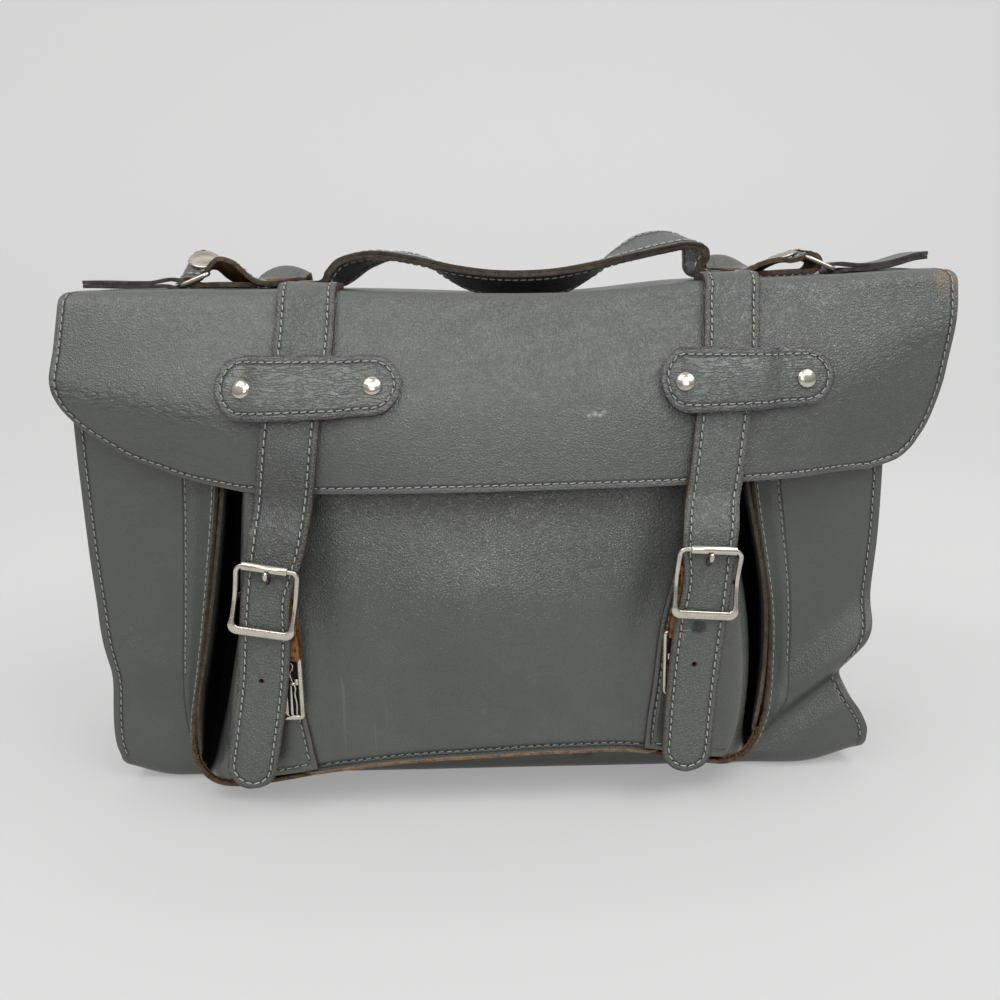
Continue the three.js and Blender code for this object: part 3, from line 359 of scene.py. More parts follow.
def leatherLook(name, tone, grain=1.0, wrinkle=None, seamIn=(), marks=(), scratches=0.0, gloss=0.0, fade=None,
                creases=(), ridgeSize=(520, 520, 980), fringe=0.0, paintedFoldShade=False):
    n = Nodes(name)
    drift = n.add("TexNoise", None, {"Vector": n.coords, "Scale": 210, "Detail": 2}).outputs["Color"]
    small = n.add("VectorMath", {"operation": "SCALE"}, {0: drift, "Scale": 0.0026}).outputs[0]
    bent = n.add("VectorMath", {"operation": "ADD"}, {0: n.coords, 1: small}).outputs[0]
    pebble = n.ramp(n.cells(leather["grain"], bent), 0.0, 0.34)
    fine = n.noise(2700, 3, rough=0.65)
    patch = n.noise(70, 3)
    lively = n.calc("MULTIPLY", n.ramp(patch, 0.3, 0.7, 0.7, 1), grain)
    if fade:  # the grain is rubbed flat toward one end
        axis, low, high, least = fade
        place = n.axis(axis)
        lively = n.calc("MULTIPLY", lively, n.ramp(place, low * mm, high * mm, least, 1))
    ridge = n.ramp(n.noise(1, 1, n.scaled(ridgeSize, (0, 0.3, 0), bent), 0.4, 0.25), 0.2, 0.8)
    height = n.plus(n.calc("MULTIPLY", pebble, lively), fine, 0.1 * grain)
    height = n.plus(height, n.calc("MULTIPLY", ridge, lively), 0.6)
    # painted shade and light: the grain's valleys are darkened and its tops lightened
    value = n.calc("MULTIPLY", n.calc("SUBTRACT", n.calc("ADD", pebble, ridge), 1.2), 0.1 * grain)
    if wrinkle:  # fine wavy creases that run across the leather
        across, along, deep = wrinkle
        swell = n.noise(1, 1, n.scaled((across, across, along)), 0.45, 0.35)
        pillow = n.ramp(n.calc("ABSOLUTE", n.calc("SUBTRACT", swell, 0.5)), 0.0, 0.085)
        height = n.plus(height, pillow, 0.75 * deep)
        # painted shade in the creases and painted light on the swells between them
        value = n.plus(value, n.calc("SUBTRACT", pillow, 0.75), 0.15 * deep)
    for lean, rise, wide, start, end, deep in creases:  # small wrinkles gathered along a slanting fold
        spot = n.add("SeparateXYZ", None, {0: n.coords}).outputs
        line = n.calc("ADD", n.calc("MULTIPLY", spot["X"], lean), rise * mm)
        away = n.calc("ABSOLUTE", n.calc("SUBTRACT", line, spot["Z"]))
        there = n.ramp(spot["X"], min(start, end) * mm, max(start, end) * mm, float(start > end), float(end > start))
        gather = n.noise(1, 2, n.scaled((150, 150, 430), (0, math.atan(lean), 0), bent), 0.5, 0.8)
        there = n.calc("MULTIPLY", there, n.ramp(spot["Y"], -0.045, -0.035, 1, 0))  # on the front only
        gather = n.calc("MULTIPLY", n.ramp(gather, 0.36, 0.6), n.ramp(away, 0.0, wide * mm, deep, 0.0))
        height = n.plus(height, gather, there)
    broad = n.ramp(n.noise(13, 4, rough=0.6), 0.3, 0.7, -1, 1)
    value = n.plus(value, broad, 0.05)
    value = n.plus(value, n.ramp(patch, 0.3, 0.7, -1, 1), 0.04)
    value = n.calc("ADD", value, 1.0)
    rim = n.rimDistance()
    for place in seamIn:  # the thread draws the leather down into a shallow line, darkened there as painted shade in the groove
        groove = n.ramp(n.calc("ABSOLUTE", n.calc("SUBTRACT", rim, place)), 0.1, 1.4, 1, 0)
        height = n.calc("SUBTRACT", height, n.calc("MULTIPLY", groove, 1.7))
        value = n.calc("SUBTRACT", value, n.calc("MULTIPLY", groove, 0.15))
    colour = n.add("HueSaturation", None, {"Value": value, "Color": tone}).outputs[0]
    flecks = n.ramp(n.noise(1050, 1, rough=0.3), 0.745, 0.785)
    colour = n.blend(n.calc("MULTIPLY", flecks, 0.14), colour, sRgb(165, 165, 160))
    if scratches:
        lines = n.noise(1, 2, n.scaled((620, 620, 13), (0, math.radians(5), 0)), rough=0.4)
        thin = n.calc("MULTIPLY", n.ramp(lines, 0.70, 0.76), n.ramp(n.noise(24, 2), 0.5, 0.62))
        colour = n.blend(n.calc("MULTIPLY", thin, scratches), colour, sRgb(140, 138, 132))
        lines = n.noise(1, 2, n.scaled((30, 30, 640), (0, math.radians(-8), 0)), rough=0.5)
        thin = n.calc("MULTIPLY", n.ramp(lines, 0.66, 0.71), n.ramp(n.noise(31, 2), 0.52, 0.62))
        colour = n.blend(n.calc("MULTIPLY", thin, scratches * 1.3), colour, sRgb(48, 48, 46))
    ragged = n.plus(rim, n.calc("SUBTRACT", n.noise(420, 3), 0.5), 2.2)
    colour = n.blend(n.ramp(ragged, 0.1, 0.9, 0.6, 0), colour, leather["wornTone"])
    if fringe:  # grime darkens the rim of narrow pieces
        colour = n.blend(n.ramp(ragged, 0.3, fringe, 0.8, 0), colour, leather["darkTone"])
    crumbs = n.ramp(n.noise(330, 4, rough=0.7), 0.42, 0.6, 0.45, 1)
    for spot, inner, outer, tint, amount in marks:
        mask = n.calc("MULTIPLY", n.near(spot, inner, outer), n.calc("MULTIPLY", crumbs, amount))
        colour = n.blend(mask, colour, tint)
    base = leather["roughness"] - gloss
    rough = n.calc("SUBTRACT", n.ramp(patch, 0.3, 0.7, base - 0.01, base + 0.05), n.calc("MULTIPLY", pebble, 0.06))
    n.set(**{"Specular IOR Level": leather["shine"]})
    if paintedFoldShade:  # painted shade: dull and near black down inside the fold and beside the straps
        paintedShade = n.add("Attribute", {"attribute_name": "paintedShade"}).outputs["Fac"]
        colour = n.blend(paintedShade, colour, sRgb(9, 9, 9))
        rough = n.plus(rough, paintedShade, 0.4)
        n.join(n.calc("MULTIPLY", n.calc("SUBTRACT", 1.0, paintedShade), leather["shine"]), "Specular IOR Level")
    n.join(colour, "Base Color")
    n.join(rough, "Roughness")
    n.bump(height, leather["bump"], 0.36)
    return n.look


def rawLook(name, tone, dark, fuzz=1.0, strands=(900, 900, 2600), high=None):  # cut edge or flesh side
    n = Nodes(name)
    fibre = n.noise(1, 5, n.scaled(strands), rough=0.7, distortion=0.5)
    clump = n.noise(260, 4, rough=0.65)
    shade = n.plus(n.calc("MULTIPLY", fibre, 0.6), clump, 0.5)
    colour = n.blend(n.ramp(shade, 0.36, 0.72), dark, tone)
    if high:  # greyer above the lower corners
        colour = n.blend(n.ramp(n.axis("Z"), 0.03, 0.085), colour, n.blend(n.ramp(shade, 0.36, 0.72), dark, high))
    n.join(colour, "Base Color")
    n.set(Roughness=0.92, **{"Specular IOR Level": 0.2})
    n.bump(n.calc("ADD", fibre, clump), 0.8 * fuzz, 0.45)
    return n.look


def nickelLook(name, tone, roughness):
    n = Nodes(name)
    cloud = n.noise(190, 4, rough=0.6)
    wear = n.noise(1, 3, n.scaled((420, 2400, 420)), rough=0.55)
    n.join(n.blend(n.ramp(cloud, 0.42, 0.72, 0, 0.55), tone, sRgb(166, 158, 144)), "Base Color")
    n.join(n.calc("ADD", n.ramp(cloud, 0.3, 0.7, roughness - 0.05, roughness + 0.12),
                  n.ramp(wear, 0.45, 0.7, 0, 0.09)), "Roughness")
    n.set(Metallic=1.0)
    n.bump(n.plus(wear, cloud, 0.6), 0.12, 0.08)
    return n.look


def threadLook(name, tone):
    n = Nodes(name)
    twist = n.noise(3600, 2)
    n.join(n.blend(n.ramp(twist, 0.35, 0.65), tone, sRgb(146, 147, 141)), "Base Color")
    n.set(Roughness=0.75)
    n.bump(twist, 0.5, 0.15)
    return n.look


# painted shade: near-black colour that stands for the shade inside the needle holes
def holeLook(name):
    n = Nodes(name)
    n.join(n.blend(n.noise(900, 2), sRgb(16, 15, 14), sRgb(38, 34, 30)), "Base Color")
    n.set(Roughness=0.95)
    return n.look


flapMarks = [(leather["flapCorner"], 3, 12, sRgb(104, 88, 62), 1.0)]  # spot, inner and outer radius, tint, amount
for dx, dz, wide in ((-3.4, -0.5, 1.7), (-0.9, 0.3, 2.0), (1.4, -0.3, 1.5), (3.2, 0.9, 1.6)):
    place = (leather["scuff"][0] + dx, leather["scuff"][1], leather["scuff"][2] + dz)
    flapMarks.append((place, 0.2, wide, sRgb(170, 172, 170), 0.75))
# the stain is real; the broad dark mark is painted shade on the left strap, the pale one painted light on the right
# strap
strapMarks = [(leather["stain"], 1.6, 4.6, sRgb(26, 20, 14), 2.3),
              (leather["paintedShadeSpot"], 12, 46, sRgb(30, 30, 27), 0.5),
              (leather["paintedLightSpot"], 10, 44, sRgb(150, 152, 148), 0.13)]
panelMarks = [((45.5 + 2.6 * k, -49, 9.4 + 0.8 * (k % 2)), 0.4, 2.2, sRgb(30, 26, 22), 1.6) for k in range(4)]
flapCreases = [(-0.18, 172.5, 9, -84, -128, 2.2),
               (0.553, 106.6, 11, 136, 176, 1.2)]  # lean, height at the middle, width, from, to, depth
flapLook = leatherLook("flapLeather", leather["tone"], 0.68, seamIn=(2.8,), marks=flapMarks,
                       fade=("X", -130, 170, 0.72), creases=flapCreases)
# the front panel's darker tone is painted shade
panelLook = leatherLook("panelLeather", leather["panelShadeTone"], 0.34, seamIn=(4.0,), marks=panelMarks)
pocketLook = leatherLook("pocketLeather", leather["tone"], 0.5, seamIn=(3.0,), scratches=0.2, gloss=0.1,
                         fade=("Z", 60, 125, 0.22), paintedFoldShade=True)
weltLook = leatherLook("weltLeather", leather["tone"], 0.5, seamIn=(2.6,))
strapLook = leatherLook("strapLeather", leather["strapTone"], 1.1, None, (3.1,), strapMarks, gloss=-0.05,
                        ridgeSize=(620, 620, 660), fringe=1.6)
keeperLook = leatherLook("keeperLeather", leather["strapTone"], 0.4, (150, 720, 1.25), (3.1,), gloss=0.07, fringe=1.8)
handleLook = leatherLook("handleLeather", leather["strapTone"], 0.8, (180, 620, 0.7), (3.4,))
# the handle's underside: darker leather with painted shade
underDarkShadedLook = leatherLook("underLeatherDarkShaded", sRgb(36, 36, 35), 0.8, (180, 620, 0.7), (3.4,))
plainLook = leatherLook("plainLeather", leather["tone"], 0.6)
edgeLook = rawLook("rawEdge", sRgb(100, 85, 68), sRgb(48, 43, 38))
darkLook = rawLook("darkEdge", sRgb(86, 77, 66), sRgb(38, 35, 32))
weltEdgeLook = rawLook("weltEdge", sRgb(112, 94, 73), sRgb(48, 41, 34), high=sRgb(80, 75, 67))
greyEdgeLook = rawLook("greyEdge", sRgb(84, 82, 77), sRgb(42, 41, 38))
chapeLook = rawLook("chapeFlesh", sRgb(150, 106, 64), sRgb(40, 26, 15), 1.6, (1500, 1500, 210))
tanLook = rawLook("tanEdge", sRgb(158, 128, 96), sRgb(84, 66, 48))
brownLook = rawLook("brownFlesh", sRgb(122, 88, 58), sRgb(58, 40, 26))
insideLook = rawLook("darkFlesh", sRgb(70, 62, 54), sRgb(34, 30, 27), 0.6)
nickelTrim = nickelLook("nickel", sRgb(204, 198, 185), 0.12)
studTrim = nickelLook("studNickel", sRgb(182, 175, 161), 0.25)
threadTrim = threadLook("greyThread", sRgb(172, 174, 166))
softThread = threadLook("softThread", sRgb(152, 154, 148))
# darker thread: painted shade on the pocket's lowest stitch row, also used for the tuft under the handle
darkShadedThread = threadLook("darkShadedThread", sRgb(74, 72, 67))
holeShadeTrim = holeLook("needleHoleShade")
print("looks ready")


stitch = {"pitch": 3.9, "long": 3.3, "wide": 1.0, "high": 0.85, "sink": 0.06, "slant": 6,
          "hole": 0.4, "holeProud": 0.045}

selectNone()
bpy.ops.mesh.primitive_uv_sphere_add(segments=6, ring_count=5, radius=0.5)
stitchModel = bpy.context.object
stitchShape = np.array([tuple(v.co) for v in stitchModel.data.vertices])
stitchFaces = [list(face.vertices) for face in stitchModel.data.polygons]
bpy.data.objects.remove(stitchModel)
stitchSize = [stitch["long"], stitch["wide"], stitch["high"]]
stitchShape = stitchShape[:, [2, 0, 1]] * stitchSize  # its poles lie along the seam


def strandPiece(name, spots, faces, looks, slot):  # many small strands in one mesh
    mesh = bpy.data.meshes.new(name)
    mesh.from_pydata((np.array([tuple(p) for p in spots]) * mm).tolist(), [], faces)
    for look in looks:
        mesh.materials.append(look)
    mesh.update()
    piece = bpy.data.objects.new(name, mesh)
    bpy.context.scene.collection.objects.link(piece)
    return settle(piece, slot)


# Sews one piece: every path is a list of (point, normal) along a seam
def sew(name, paths, slot="grey_leather", weight=1.0, thread=None, seed=1):
    wobble = random.Random(seed)
    spots, faces, kinds = [], [], []
    for path in paths:
        points = np.array([tuple(p) for p, _ in path])
        normals = np.array([tuple(q) for _, q in path])
        run = np.concatenate([[0], np.cumsum(np.linalg.norm(np.diff(points, axis=0), axis=1))])
        count = max(int(run[-1] / stitch["pitch"]), 1)

        def read(at):
            p = np.array([np.interp(at, run, points[:, k]) for k in range(3)])
            q = np.array([np.interp(at, run, normals[:, k]) for k in range(3)])
            return p, q / np.linalg.norm(q)

        for i in range(count + 1):
            at = run[-1] * i / count
            for kind, middle in (("thread", at + 0.5 * run[-1] / count), ("hole", at)):
                if kind == "thread" and i == count:
                    continue
                p, up = read(middle)
                ahead = read(min(middle + 0.8, run[-1]))[0] - read(max(middle - 0.8, 0))[0]
                ahead -= up * ahead.dot(up)
                ahead /= np.linalg.norm(ahead)
                side = np.cross(up, ahead)
                first = len(spots)
                if kind == "thread":
                    turn = math.radians(stitch["slant"] + wobble.uniform(-4, 4))
                    stretch = wobble.uniform(0.93, 1.06)
                    a = ahead * math.cos(turn) + side * math.sin(turn)
                    b = side * math.cos(turn) - ahead * math.sin(turn)
                    base = p + up * (stitch["high"] * 0.22 - stitch["sink"])
                    for l, w, h in stitchShape:
                        spots.append(base + a * l * stretch + (b * w + up * h) * weight)
                    faces += [[first + v for v in face] for face in stitchFaces]
                    kinds += [0] * len(stitchFaces)
                else:
                    for k in range(6):
                        angle = math.pi * k / 3
                        around = ahead * 1.25 * math.cos(angle) + side * math.sin(angle)
                        spots.append(p + up * stitch["holeProud"] + around * stitch["hole"])
                    faces.append([first + k for k in range(6)])
                    kinds.append(1)
    mesh = strandPiece(name, spots, faces, [thread or threadTrim, holeShadeTrim], slot).data
    mesh.polygons.foreach_set("material_index", kinds)
    mesh.polygons.foreach_set("use_smooth", [True] * len(faces))
    mesh.update()


# Loose fibres: thin bent strands that stand off a cut edge, given as lists of (point, outward)
def fray(name, edges, perPath, long, look, slot, seed, thick=0.1):
    wobble = random.Random(seed)
    spots, faces = [], []
    anyWay = lambda: Vector([wobble.gauss(0, 1) for _ in range(3)])
    for path in edges:
        for _ in range(perPath):
            i, t = wobble.randrange(len(path) - 1), wobble.random()
            foot = path[i][0].lerp(path[i + 1][0], t)
            way = (path[i][1].lerp(path[i + 1][1], t).normalized() + anyWay() * 0.45).normalized()
            size = long * wobble.uniform(0.35, 1.2)
            side = way.cross(anyWay()).normalized()
            third = way.cross(side)
            bend = side * size * wobble.uniform(0.1, 0.5)
            first = len(spots)
            for at, wide in ((foot - way * 0.25, thick), (foot + way * size * 0.55 + bend * 0.4, thick * 0.8)):
                for k in range(3):
                    angle = 2 * math.pi * k / 3
                    spots.append(at + (side * math.cos(angle) + third * math.sin(angle)) * wide)
            spots.append(foot + way * size * 0.9 + bend)
            for k in range(3):
                a, b = first + k, first + (k + 1) % 3
                faces += [[a, b, b + 3, a + 3], [a + 3, b + 3, first + 6]]
            faces.append([first + 2, first + 1, first])
    strandPiece(name, spots, faces, [look], slot)


def insetLine(line, inward):  # a flat line of (x, z) moved to its left by a distance
    out = []
    for i, (x, z) in enumerate(line):
        a, b = line[max(i - 1, 0)], line[min(i + 1, len(line) - 1)]
        dx, dz = b[0] - a[0], b[1] - a[1]
        size = math.hypot(dx, dz) or 1
        out.append((x - dz / size * inward, z + dx / size * inward))
    return out


def lineDistance(points, line):  # distance in (x, z) of each point to a flat line
    line = np.array(line)
    spots = np.array([(p[0], p[2]) for p in points])
    best = np.full(len(spots), 1e9)
    for a, b in zip(line[:-1], line[1:]):
        step = b - a
        t = np.clip(((spots - a) @ step) / max(step @ step, 1e-9), 0, 1)
        best = np.minimum(best, np.linalg.norm(spots - a - t[:, None] * step, axis=1))
    return best.tolist()


body = {
    "frontY": -48, "backY": 48, "mouthZ": 236, "baseRadius": 8, "cornerLift": 8,
    "topRadius": 9, "topTurn": math.radians(60), "topSag": 6, "wall": 2.2, "seat": 0.4,
    "topLine": [(-196, 252), (-129, 251.6), (-66, 249.7), (11, 247.5), (58, 247.4), (105, 250.5),
                (151, 251.3), (221, 253.5)],  # x, z
    "frontEdge": [(8, -192, 197.5), (13, -193.4, 197.6), (20, -193.8, 195), (28, -193.5, 191), (36, -193, 186.6),
                  (44, -192.5, 183.6), (52, -192, 182.4), (60, -191.6, 185.4), (69, -192, 190.5), (80, -193, 193),
                  (92, -194, 193.6), (127, -195.6, 196), (182, -196, 196.5), (236, -195, 197)],  # z, left, right
    "backEdge": (-195, 197), "topEdge": (-192.5, 222),
}
flap = {
    "endZ": 160, "startZ": 246, "stitchIn": 2.8, "cornerRadius": 3.5,
    "edge": [(160, -110, 187), (163.6, -138, 201), (168, -152, 208), (173, -166, 212.5), (180, -177, 217),
             (188.5, -188, 220), (199, -196, 222), (210, -199, 223), (226, -197.5, 224.5), (246, -196, 225.5)],
    "places": (-197, -83, 13, 114, 219),
    "depth": [(160, -55, -83, -87, -79, -54), (172, -57, -84, -85, -79, -54), (185, -61, -84, -82, -78, -55),
              (198, -64, -82, -78, -76, -56), (210, -63, -76, -72, -72, -56), (225, -58, -66, -63, -64, -55),
              (246, -50, -52, -51, -52, -50)],  # z, then y at each place
}


def topZ(x, y):
    sag = body["topSag"] * bell(x, 22, 50) * max(0, 1 - (y / 46) ** 2)
    return curve(body["topLine"], x) - sag


def flapY(x, z):
    return depthAcross(flap["depth"], flap["places"], x, z)


def turnPoint(x, angle, out):  # on the rounded top edge
    radius = body["topRadius"]
    y = flapY(x, flap["startZ"]) + radius * math.sin(body["topTurn"])
    z = topZ(x, y) - radius
    return Vector((x, y - (radius + out) * math.sin(angle), z + (radius + out) * math.cos(angle)))


def turnNormal(angle):
    return Vector((0, -math.sin(angle), math.cos(angle)))


def droop(past, slope, soft):  # falls away softly past a crease
    return slope * (math.hypot(past, soft) + past) / 2


def flapFront(x, z):  # y of the flap's outer side at a real height
    start = turnPoint(x, body["topTurn"], 0).z
    nominal = flap["endZ"] + (z - flap["endZ"]) * (flap["startZ"] - flap["endZ"]) / (start - flap["endZ"])
    y = flapY(x, nominal)
    below = (195.6 + 0.553 * (x - 161) - z) / 1.14  # the right corner droops under a slanting crease
    y += (droop(below, 0.22, 5) * (1 - smooth(28, 75, below)) - 0.9 * bell(below, -6, 9)) * smooth(138, 180, x)
    under = 205 - 0.15 * (x + 190) - z  # and so does the left one
    y += (droop(under, 0.26, 4) - 0.8 * bell(under, -6, 8)) * smooth(88, 150, -x)
    return y + sway((x, z, 3), 46, 0.7)


def baseLift(x):
    return body["cornerLift"] * smooth(158, 198, abs(x)) ** 1.5


def frontPanelY(x, z):
    full = 1.6 * math.sin(math.pi * min(max(z / body["mouthZ"], 0), 1))
    line = 57 + (x - 185) * 0.86
    nearRight = smooth(112, 182, x)
    ridge = 8.5 * bell(z, line + 13, 12) * nearRight
    valley = 5.5 * bell(z, line - 4, 7.5) * nearRight
    lower = 3.0 * bell(z, line - 24, 12) * nearRight
    softLeft = 2.6 * bell(z, 66 - 0.55 * (x + 172), 15) * smooth(146, 176, -x)
    softLeft -= 1.8 * bell(z, 44 - 0.55 * (x + 172), 12) * smooth(140, 176, -x)
    return body["frontY"] - full - ridge + valley - lower - softLeft + sway((x, z, 9), 60, 0.8)


def rowHeight(z, x):
    return z + baseLift(x) * (1 - smooth(body["baseRadius"], 90, z))


def frontEdges(z, inset=0):
    return curve(body["frontEdge"], z, 1) + inset, curve(body["frontEdge"], z, 2) - inset


frontPanel = {"columns": 112, "stitchIn": 4.0}


def makeFrontPanel():
    radius = body["baseRadius"]
    across = steps(0, 1, frontPanel["columns"])
    rows, rim = [], []

    def addRow(edges, point):
        left, right = edges
        xs = [mix(left, right, c) for c in across]
        rows.append([point(x) for x in xs])
        rim.append([min(x - left, right - x) for x in xs])

    for y in steps(body["backY"] - body["wall"] - body["seat"], -34, 9):
        addRow(frontEdges(radius, radius / 2), lambda x: (x, y, baseLift(x)))
    for angle in [math.radians(a) for a in (90, 75, 60, 45, 30, 15)]:
        inset = radius * (1 - math.cos(angle))
        low = radius * (1 - math.sin(angle))
        share = angle / (math.pi / 2)
        addRow(frontEdges(radius, inset / 2), lambda x: (
            x, mix(frontPanelY(x, radius + baseLift(x)), body["frontY"], share) + inset, low + baseLift(x)))
    for z in [*steps(radius, 100, 38), *steps(103, body["mouthZ"], 40)]:
        addRow(frontEdges(z), lambda x: (x, frontPanelY(x, rowHeight(z, x)), rowHeight(z, x)))
    piece = makeSheet("front_panel_leather", rows, body["wall"], [panelLook, edgeLook, insideLook], rim)
    settle(piece, "grey_leather", "front_panel")
    paths = []
    for side in (0, 1):
        path = []
        for z in steps(9, 232, 150):
            x = frontEdges(z)[side] + (frontPanel["stitchIn"] if side == 0 else -frontPanel["stitchIn"])
            path.append(offFront(frontPanelY, x, rowHeight(z, x), 0))
        paths.append(path)
    return paths


bodySeams = makeFrontPanel()
print("front panel ready")


backFlap = {"columns": 132}


def flapRim():
    left = [(curve(flap["edge"], z, 1), z) for z in steps(249, 160, 120)]
    right = [(curve(flap["edge"], z, 2), z) for z in steps(160, 249, 120)]
    low = [(x, 160) for x in steps(left[-1][0], right[0][0], 150)][1:-1]
    return left + low + right


def backFace(x, t):  # y of the back leather, t up its height
    soft = sway((x, t * 240, 1), 70, 0.9) + sway((x, t * 240, 6), 26, 0.3)
    soft -= 1.4 * bell(x, 20, 90) * bell(t, 0.45, 0.3)
    return body["backY"] + soft * smooth(0, 0.1, 1 - t) * smooth(0, 0.08, t)


def makeBackFlap():
    across = steps(0, 1, backFlap["columns"])
    rows, rim = [], []
    rimLine = flapRim()
    for t in [0, 0.008, 0.018, 0.03, 0.045, *steps(0.065, 0.985, 44)]:  # flap, from its lower edge up
        nominal = mix(flap["endZ"], flap["startZ"], t)
        left, right = curve(flap["edge"], nominal, 1), curve(flap["edge"], nominal, 2)
        row = []
        for c in across:
            x = mix(left, right, c)
            z = mix(flap["endZ"], turnPoint(x, body["topTurn"], 0).z, t)
            row.append((x, flapFront(x, z), z))
        rows.append(row)
        rim.append(lineDistance(row, rimLine))
    topLeft, topRight = body["topEdge"]

    def addRow(left, right, point):
        xs = [mix(left, right, c) for c in across]
        rows.append([point(x) for x in xs])
        rim.append([min(x - left, right - x) for x in xs])

    def spread(degrees):  # the corners are rounded where the flap turns over
        return flap["cornerRadius"] * math.sqrt(max(1 - (2 * math.cos(math.radians(degrees)) - 1) ** 2, 0))

    for degrees in (60, 52, 44, 36, 28, 20, 14, 8, 4, 0):  # over the front edge
        a, wider = math.radians(degrees), spread(degrees)
        addRow(topLeft - wider, topRight + wider, lambda x: turnPoint(x, a, 0))
    backTurn = body["backY"] - body["topRadius"]
    for t in steps(0.06, 0.95, 22):  # along the top
        addRow(topLeft, topRight, lambda x: (lambda y: (x, y, topZ(x, y) + sway((x, y, 5), 40, 0.5)))(
            mix(turnPoint(x, 0, 0).y, backTurn, t)))
    for degrees in (0, 18, 36, 54, 72, 90):  # over the back edge
        a = math.radians(degrees)
        addRow(topLeft, topRight, lambda x: (
            x, backTurn + body["topRadius"] * math.sin(a), topZ(x, backTurn) - body["topRadius"] * (1 - math.cos(a))))
    for t in steps(0.96, 0, 30):  # down the back
        left = mix(body["backEdge"][0], topLeft, t ** 4)
        right = mix(body["backEdge"][1], topRight, t ** 4)
        addRow(left, right, lambda x: (
            x, backFace(x, t),
            mix(body["seat"] + baseLift(x), topZ(x, backTurn) - body["topRadius"], t)))
    piece = makeSheet("back_flap_leather", rows, body["wall"], [flapLook, edgeLook, insideLook], rim)
    settle(piece, "grey_leather", "back_flap")
    inside = flap["stitchIn"]
    front = [offFront(flapFront, x, z, 0) for x, z in insetLine(rimLine, inside) if z < 245]
    ends = []
    for side in (-1, 1):
        edge = (topLeft if side < 0 else topRight) - side * inside
        path = []
        for degrees in (60, 45, 30, 15, 5, 0):
            a = math.radians(degrees)
            path.append((turnPoint(edge + side * spread(degrees), a, 0), turnNormal(a)))
        for y in steps(turnPoint(edge, 0, 0).y + 2, backTurn, 30):
            path.append((Vector((edge, y, topZ(edge, y) + sway((edge, y, 5), 40, 0.5))), Vector((0, 0, 1))))
        for degrees in (20, 40, 60, 80):
            a = math.radians(degrees)
            down = body["topRadius"] * (1 - math.cos(a))
            path.append((Vector((edge, backTurn + body["topRadius"] * math.sin(a), topZ(edge, backTurn) - down)),
                         Vector((0, math.sin(a), math.cos(a)))))
        for t in steps(0.96, 0.03, 60):
            low = body["backEdge"][0 if side < 0 else 1]
            x = mix(low, topLeft if side < 0 else topRight, t ** 4) - side * inside
            z = mix(body["seat"] + baseLift(x), topZ(x, backTurn) - body["topRadius"], t)
            path.append((Vector((x, backFace(x, t), z)), Vector((0, 1, 0))))
        ends.append(path)
    return [ends[0][::-1] + front + ends[1]]


flapSeams = makeBackFlap()
sew("flap_stitches", flapSeams, weight=0.7, thread=softThread, seed=2)
print("back and flap ready")


gusset = {"thick": 1.8, "rows": 64}


def makeGusset(name, side):
    rows = []
    for nominal in steps(20, body["mouthZ"] - 2, gusset["rows"]):
        edge = frontEdges(nominal)[0 if side < 0 else 1]
        z = rowHeight(nominal, edge)
        fold = 4 + 22 * smooth(20, 200, z)
        slack = 0.15 + (3.4 if side > 0 else 1.6) * bell(z, 60, 22)
        inward = body["wall"] + body["seat"] + gusset["thick"]
        ahead = lambda inset: frontPanelY(edge - side * inset, z) + inward + slack
        foot = body["seat"] + baseLift(edge)
        share = (z - foot) / (topZ(edge, body["backY"] - body["topRadius"]) - body["topRadius"] - foot)
        behind = backFace(edge - side * 5, share) - inward  # follows the back wall
        line = [(0, 1.5, ahead(1.5)), (1, 8, ahead(8)), (2, 10.5, ahead(8) + 3), (3, 11.5, -30),
                (4, 11.5 + fold * 0.62, -10), (5, 11.5 + fold, 0), (6, 11.5 + fold * 0.62, 10), (7, 11.5, 30),
                (8, 10.5, behind - 3), (9, 8, behind), (10, 1.5, behind)]  # place, inset, y
        floor = baseLift(frontEdges(8)[0 if side < 0 else 1]) + body["wall"] + 2 * body["seat"]
        low = 1 - smooth(20, 44, nominal)
        row = []
        for k in steps(0, 10, 61):
            inner = smooth(1.6, 3, k) * (1 - smooth(7, 8.4, k))
            height = mix(z, mix(floor + 3, floor, inner), low)
            row.append((edge - side * curve(line, k, 1), curve(line, k, 2), height))
        rows.append(row if side > 0 else row[::-1])
    piece = makeSheet(name + "_leather", rows, gusset["thick"], [plainLook, edgeLook, insideLook])
    settle(piece, "grey_leather", name)


makeGusset("gusset_left", -1)
makeGusset("gusset_right", 1)
print("gussets ready")


pocket = {
    "thick": 2.0, "topZ": 178, "tall": 152, "lip": 2.0, "stitchIn": 3.0, "valleyY": -53.5, "rollY": -69,
    "places": (-85, 3, 84),
    "depth": [(20, -78.5, -80, -78.5), (40, -78, -81, -78), (60, -78.2, -83, -78.2), (80, -78.6, -85.8, -78.5),
              (98, -78.8, -87, -78.5), (112, -78.4, -86, -77.8), (130, -77, -81, -76.4), (148, -74.6, -75.4, -73.6),
              (163, -72.4, -72.6, -71.2), (178, -70, -70.8, -69)],  # z, then y at each place
    "bottom": [(-143, 21), (-131, 17), (-107, 17), (-83, 20.4), (-43, 25.3), (6, 28.3), (55, 29.3), (83, 27),
               (106, 22), (121, 19.5), (131, 25)],  # x, z
    "left": [(12, -83, -119, -127), (30, -85.5, -128, -135), (46, -87.5, -127, -134.5), (87, -86.5, -119, -127),
             (127, -88.5, -115, -122), (156, -91.5, -112, -118), (178, -93, -109, -115.5)],  # z, seam, roll, valley
    "right": [(12, 76.8, 117, 122), (30, 78.2, 127, 131), (46, 80.2, 129, 133.5), (87, 84.4, 127, 132),
              (127, 93.5, 120.5, 126.5), (156, 98.2, 115.5, 121), (178, 99.5, 113, 119.5)],
}


def pocketY(x, z):
    return depthAcross(pocket["depth"], pocket["places"], x, z)


def pocketEnd(x):
    return curve(pocket["bottom"], x)


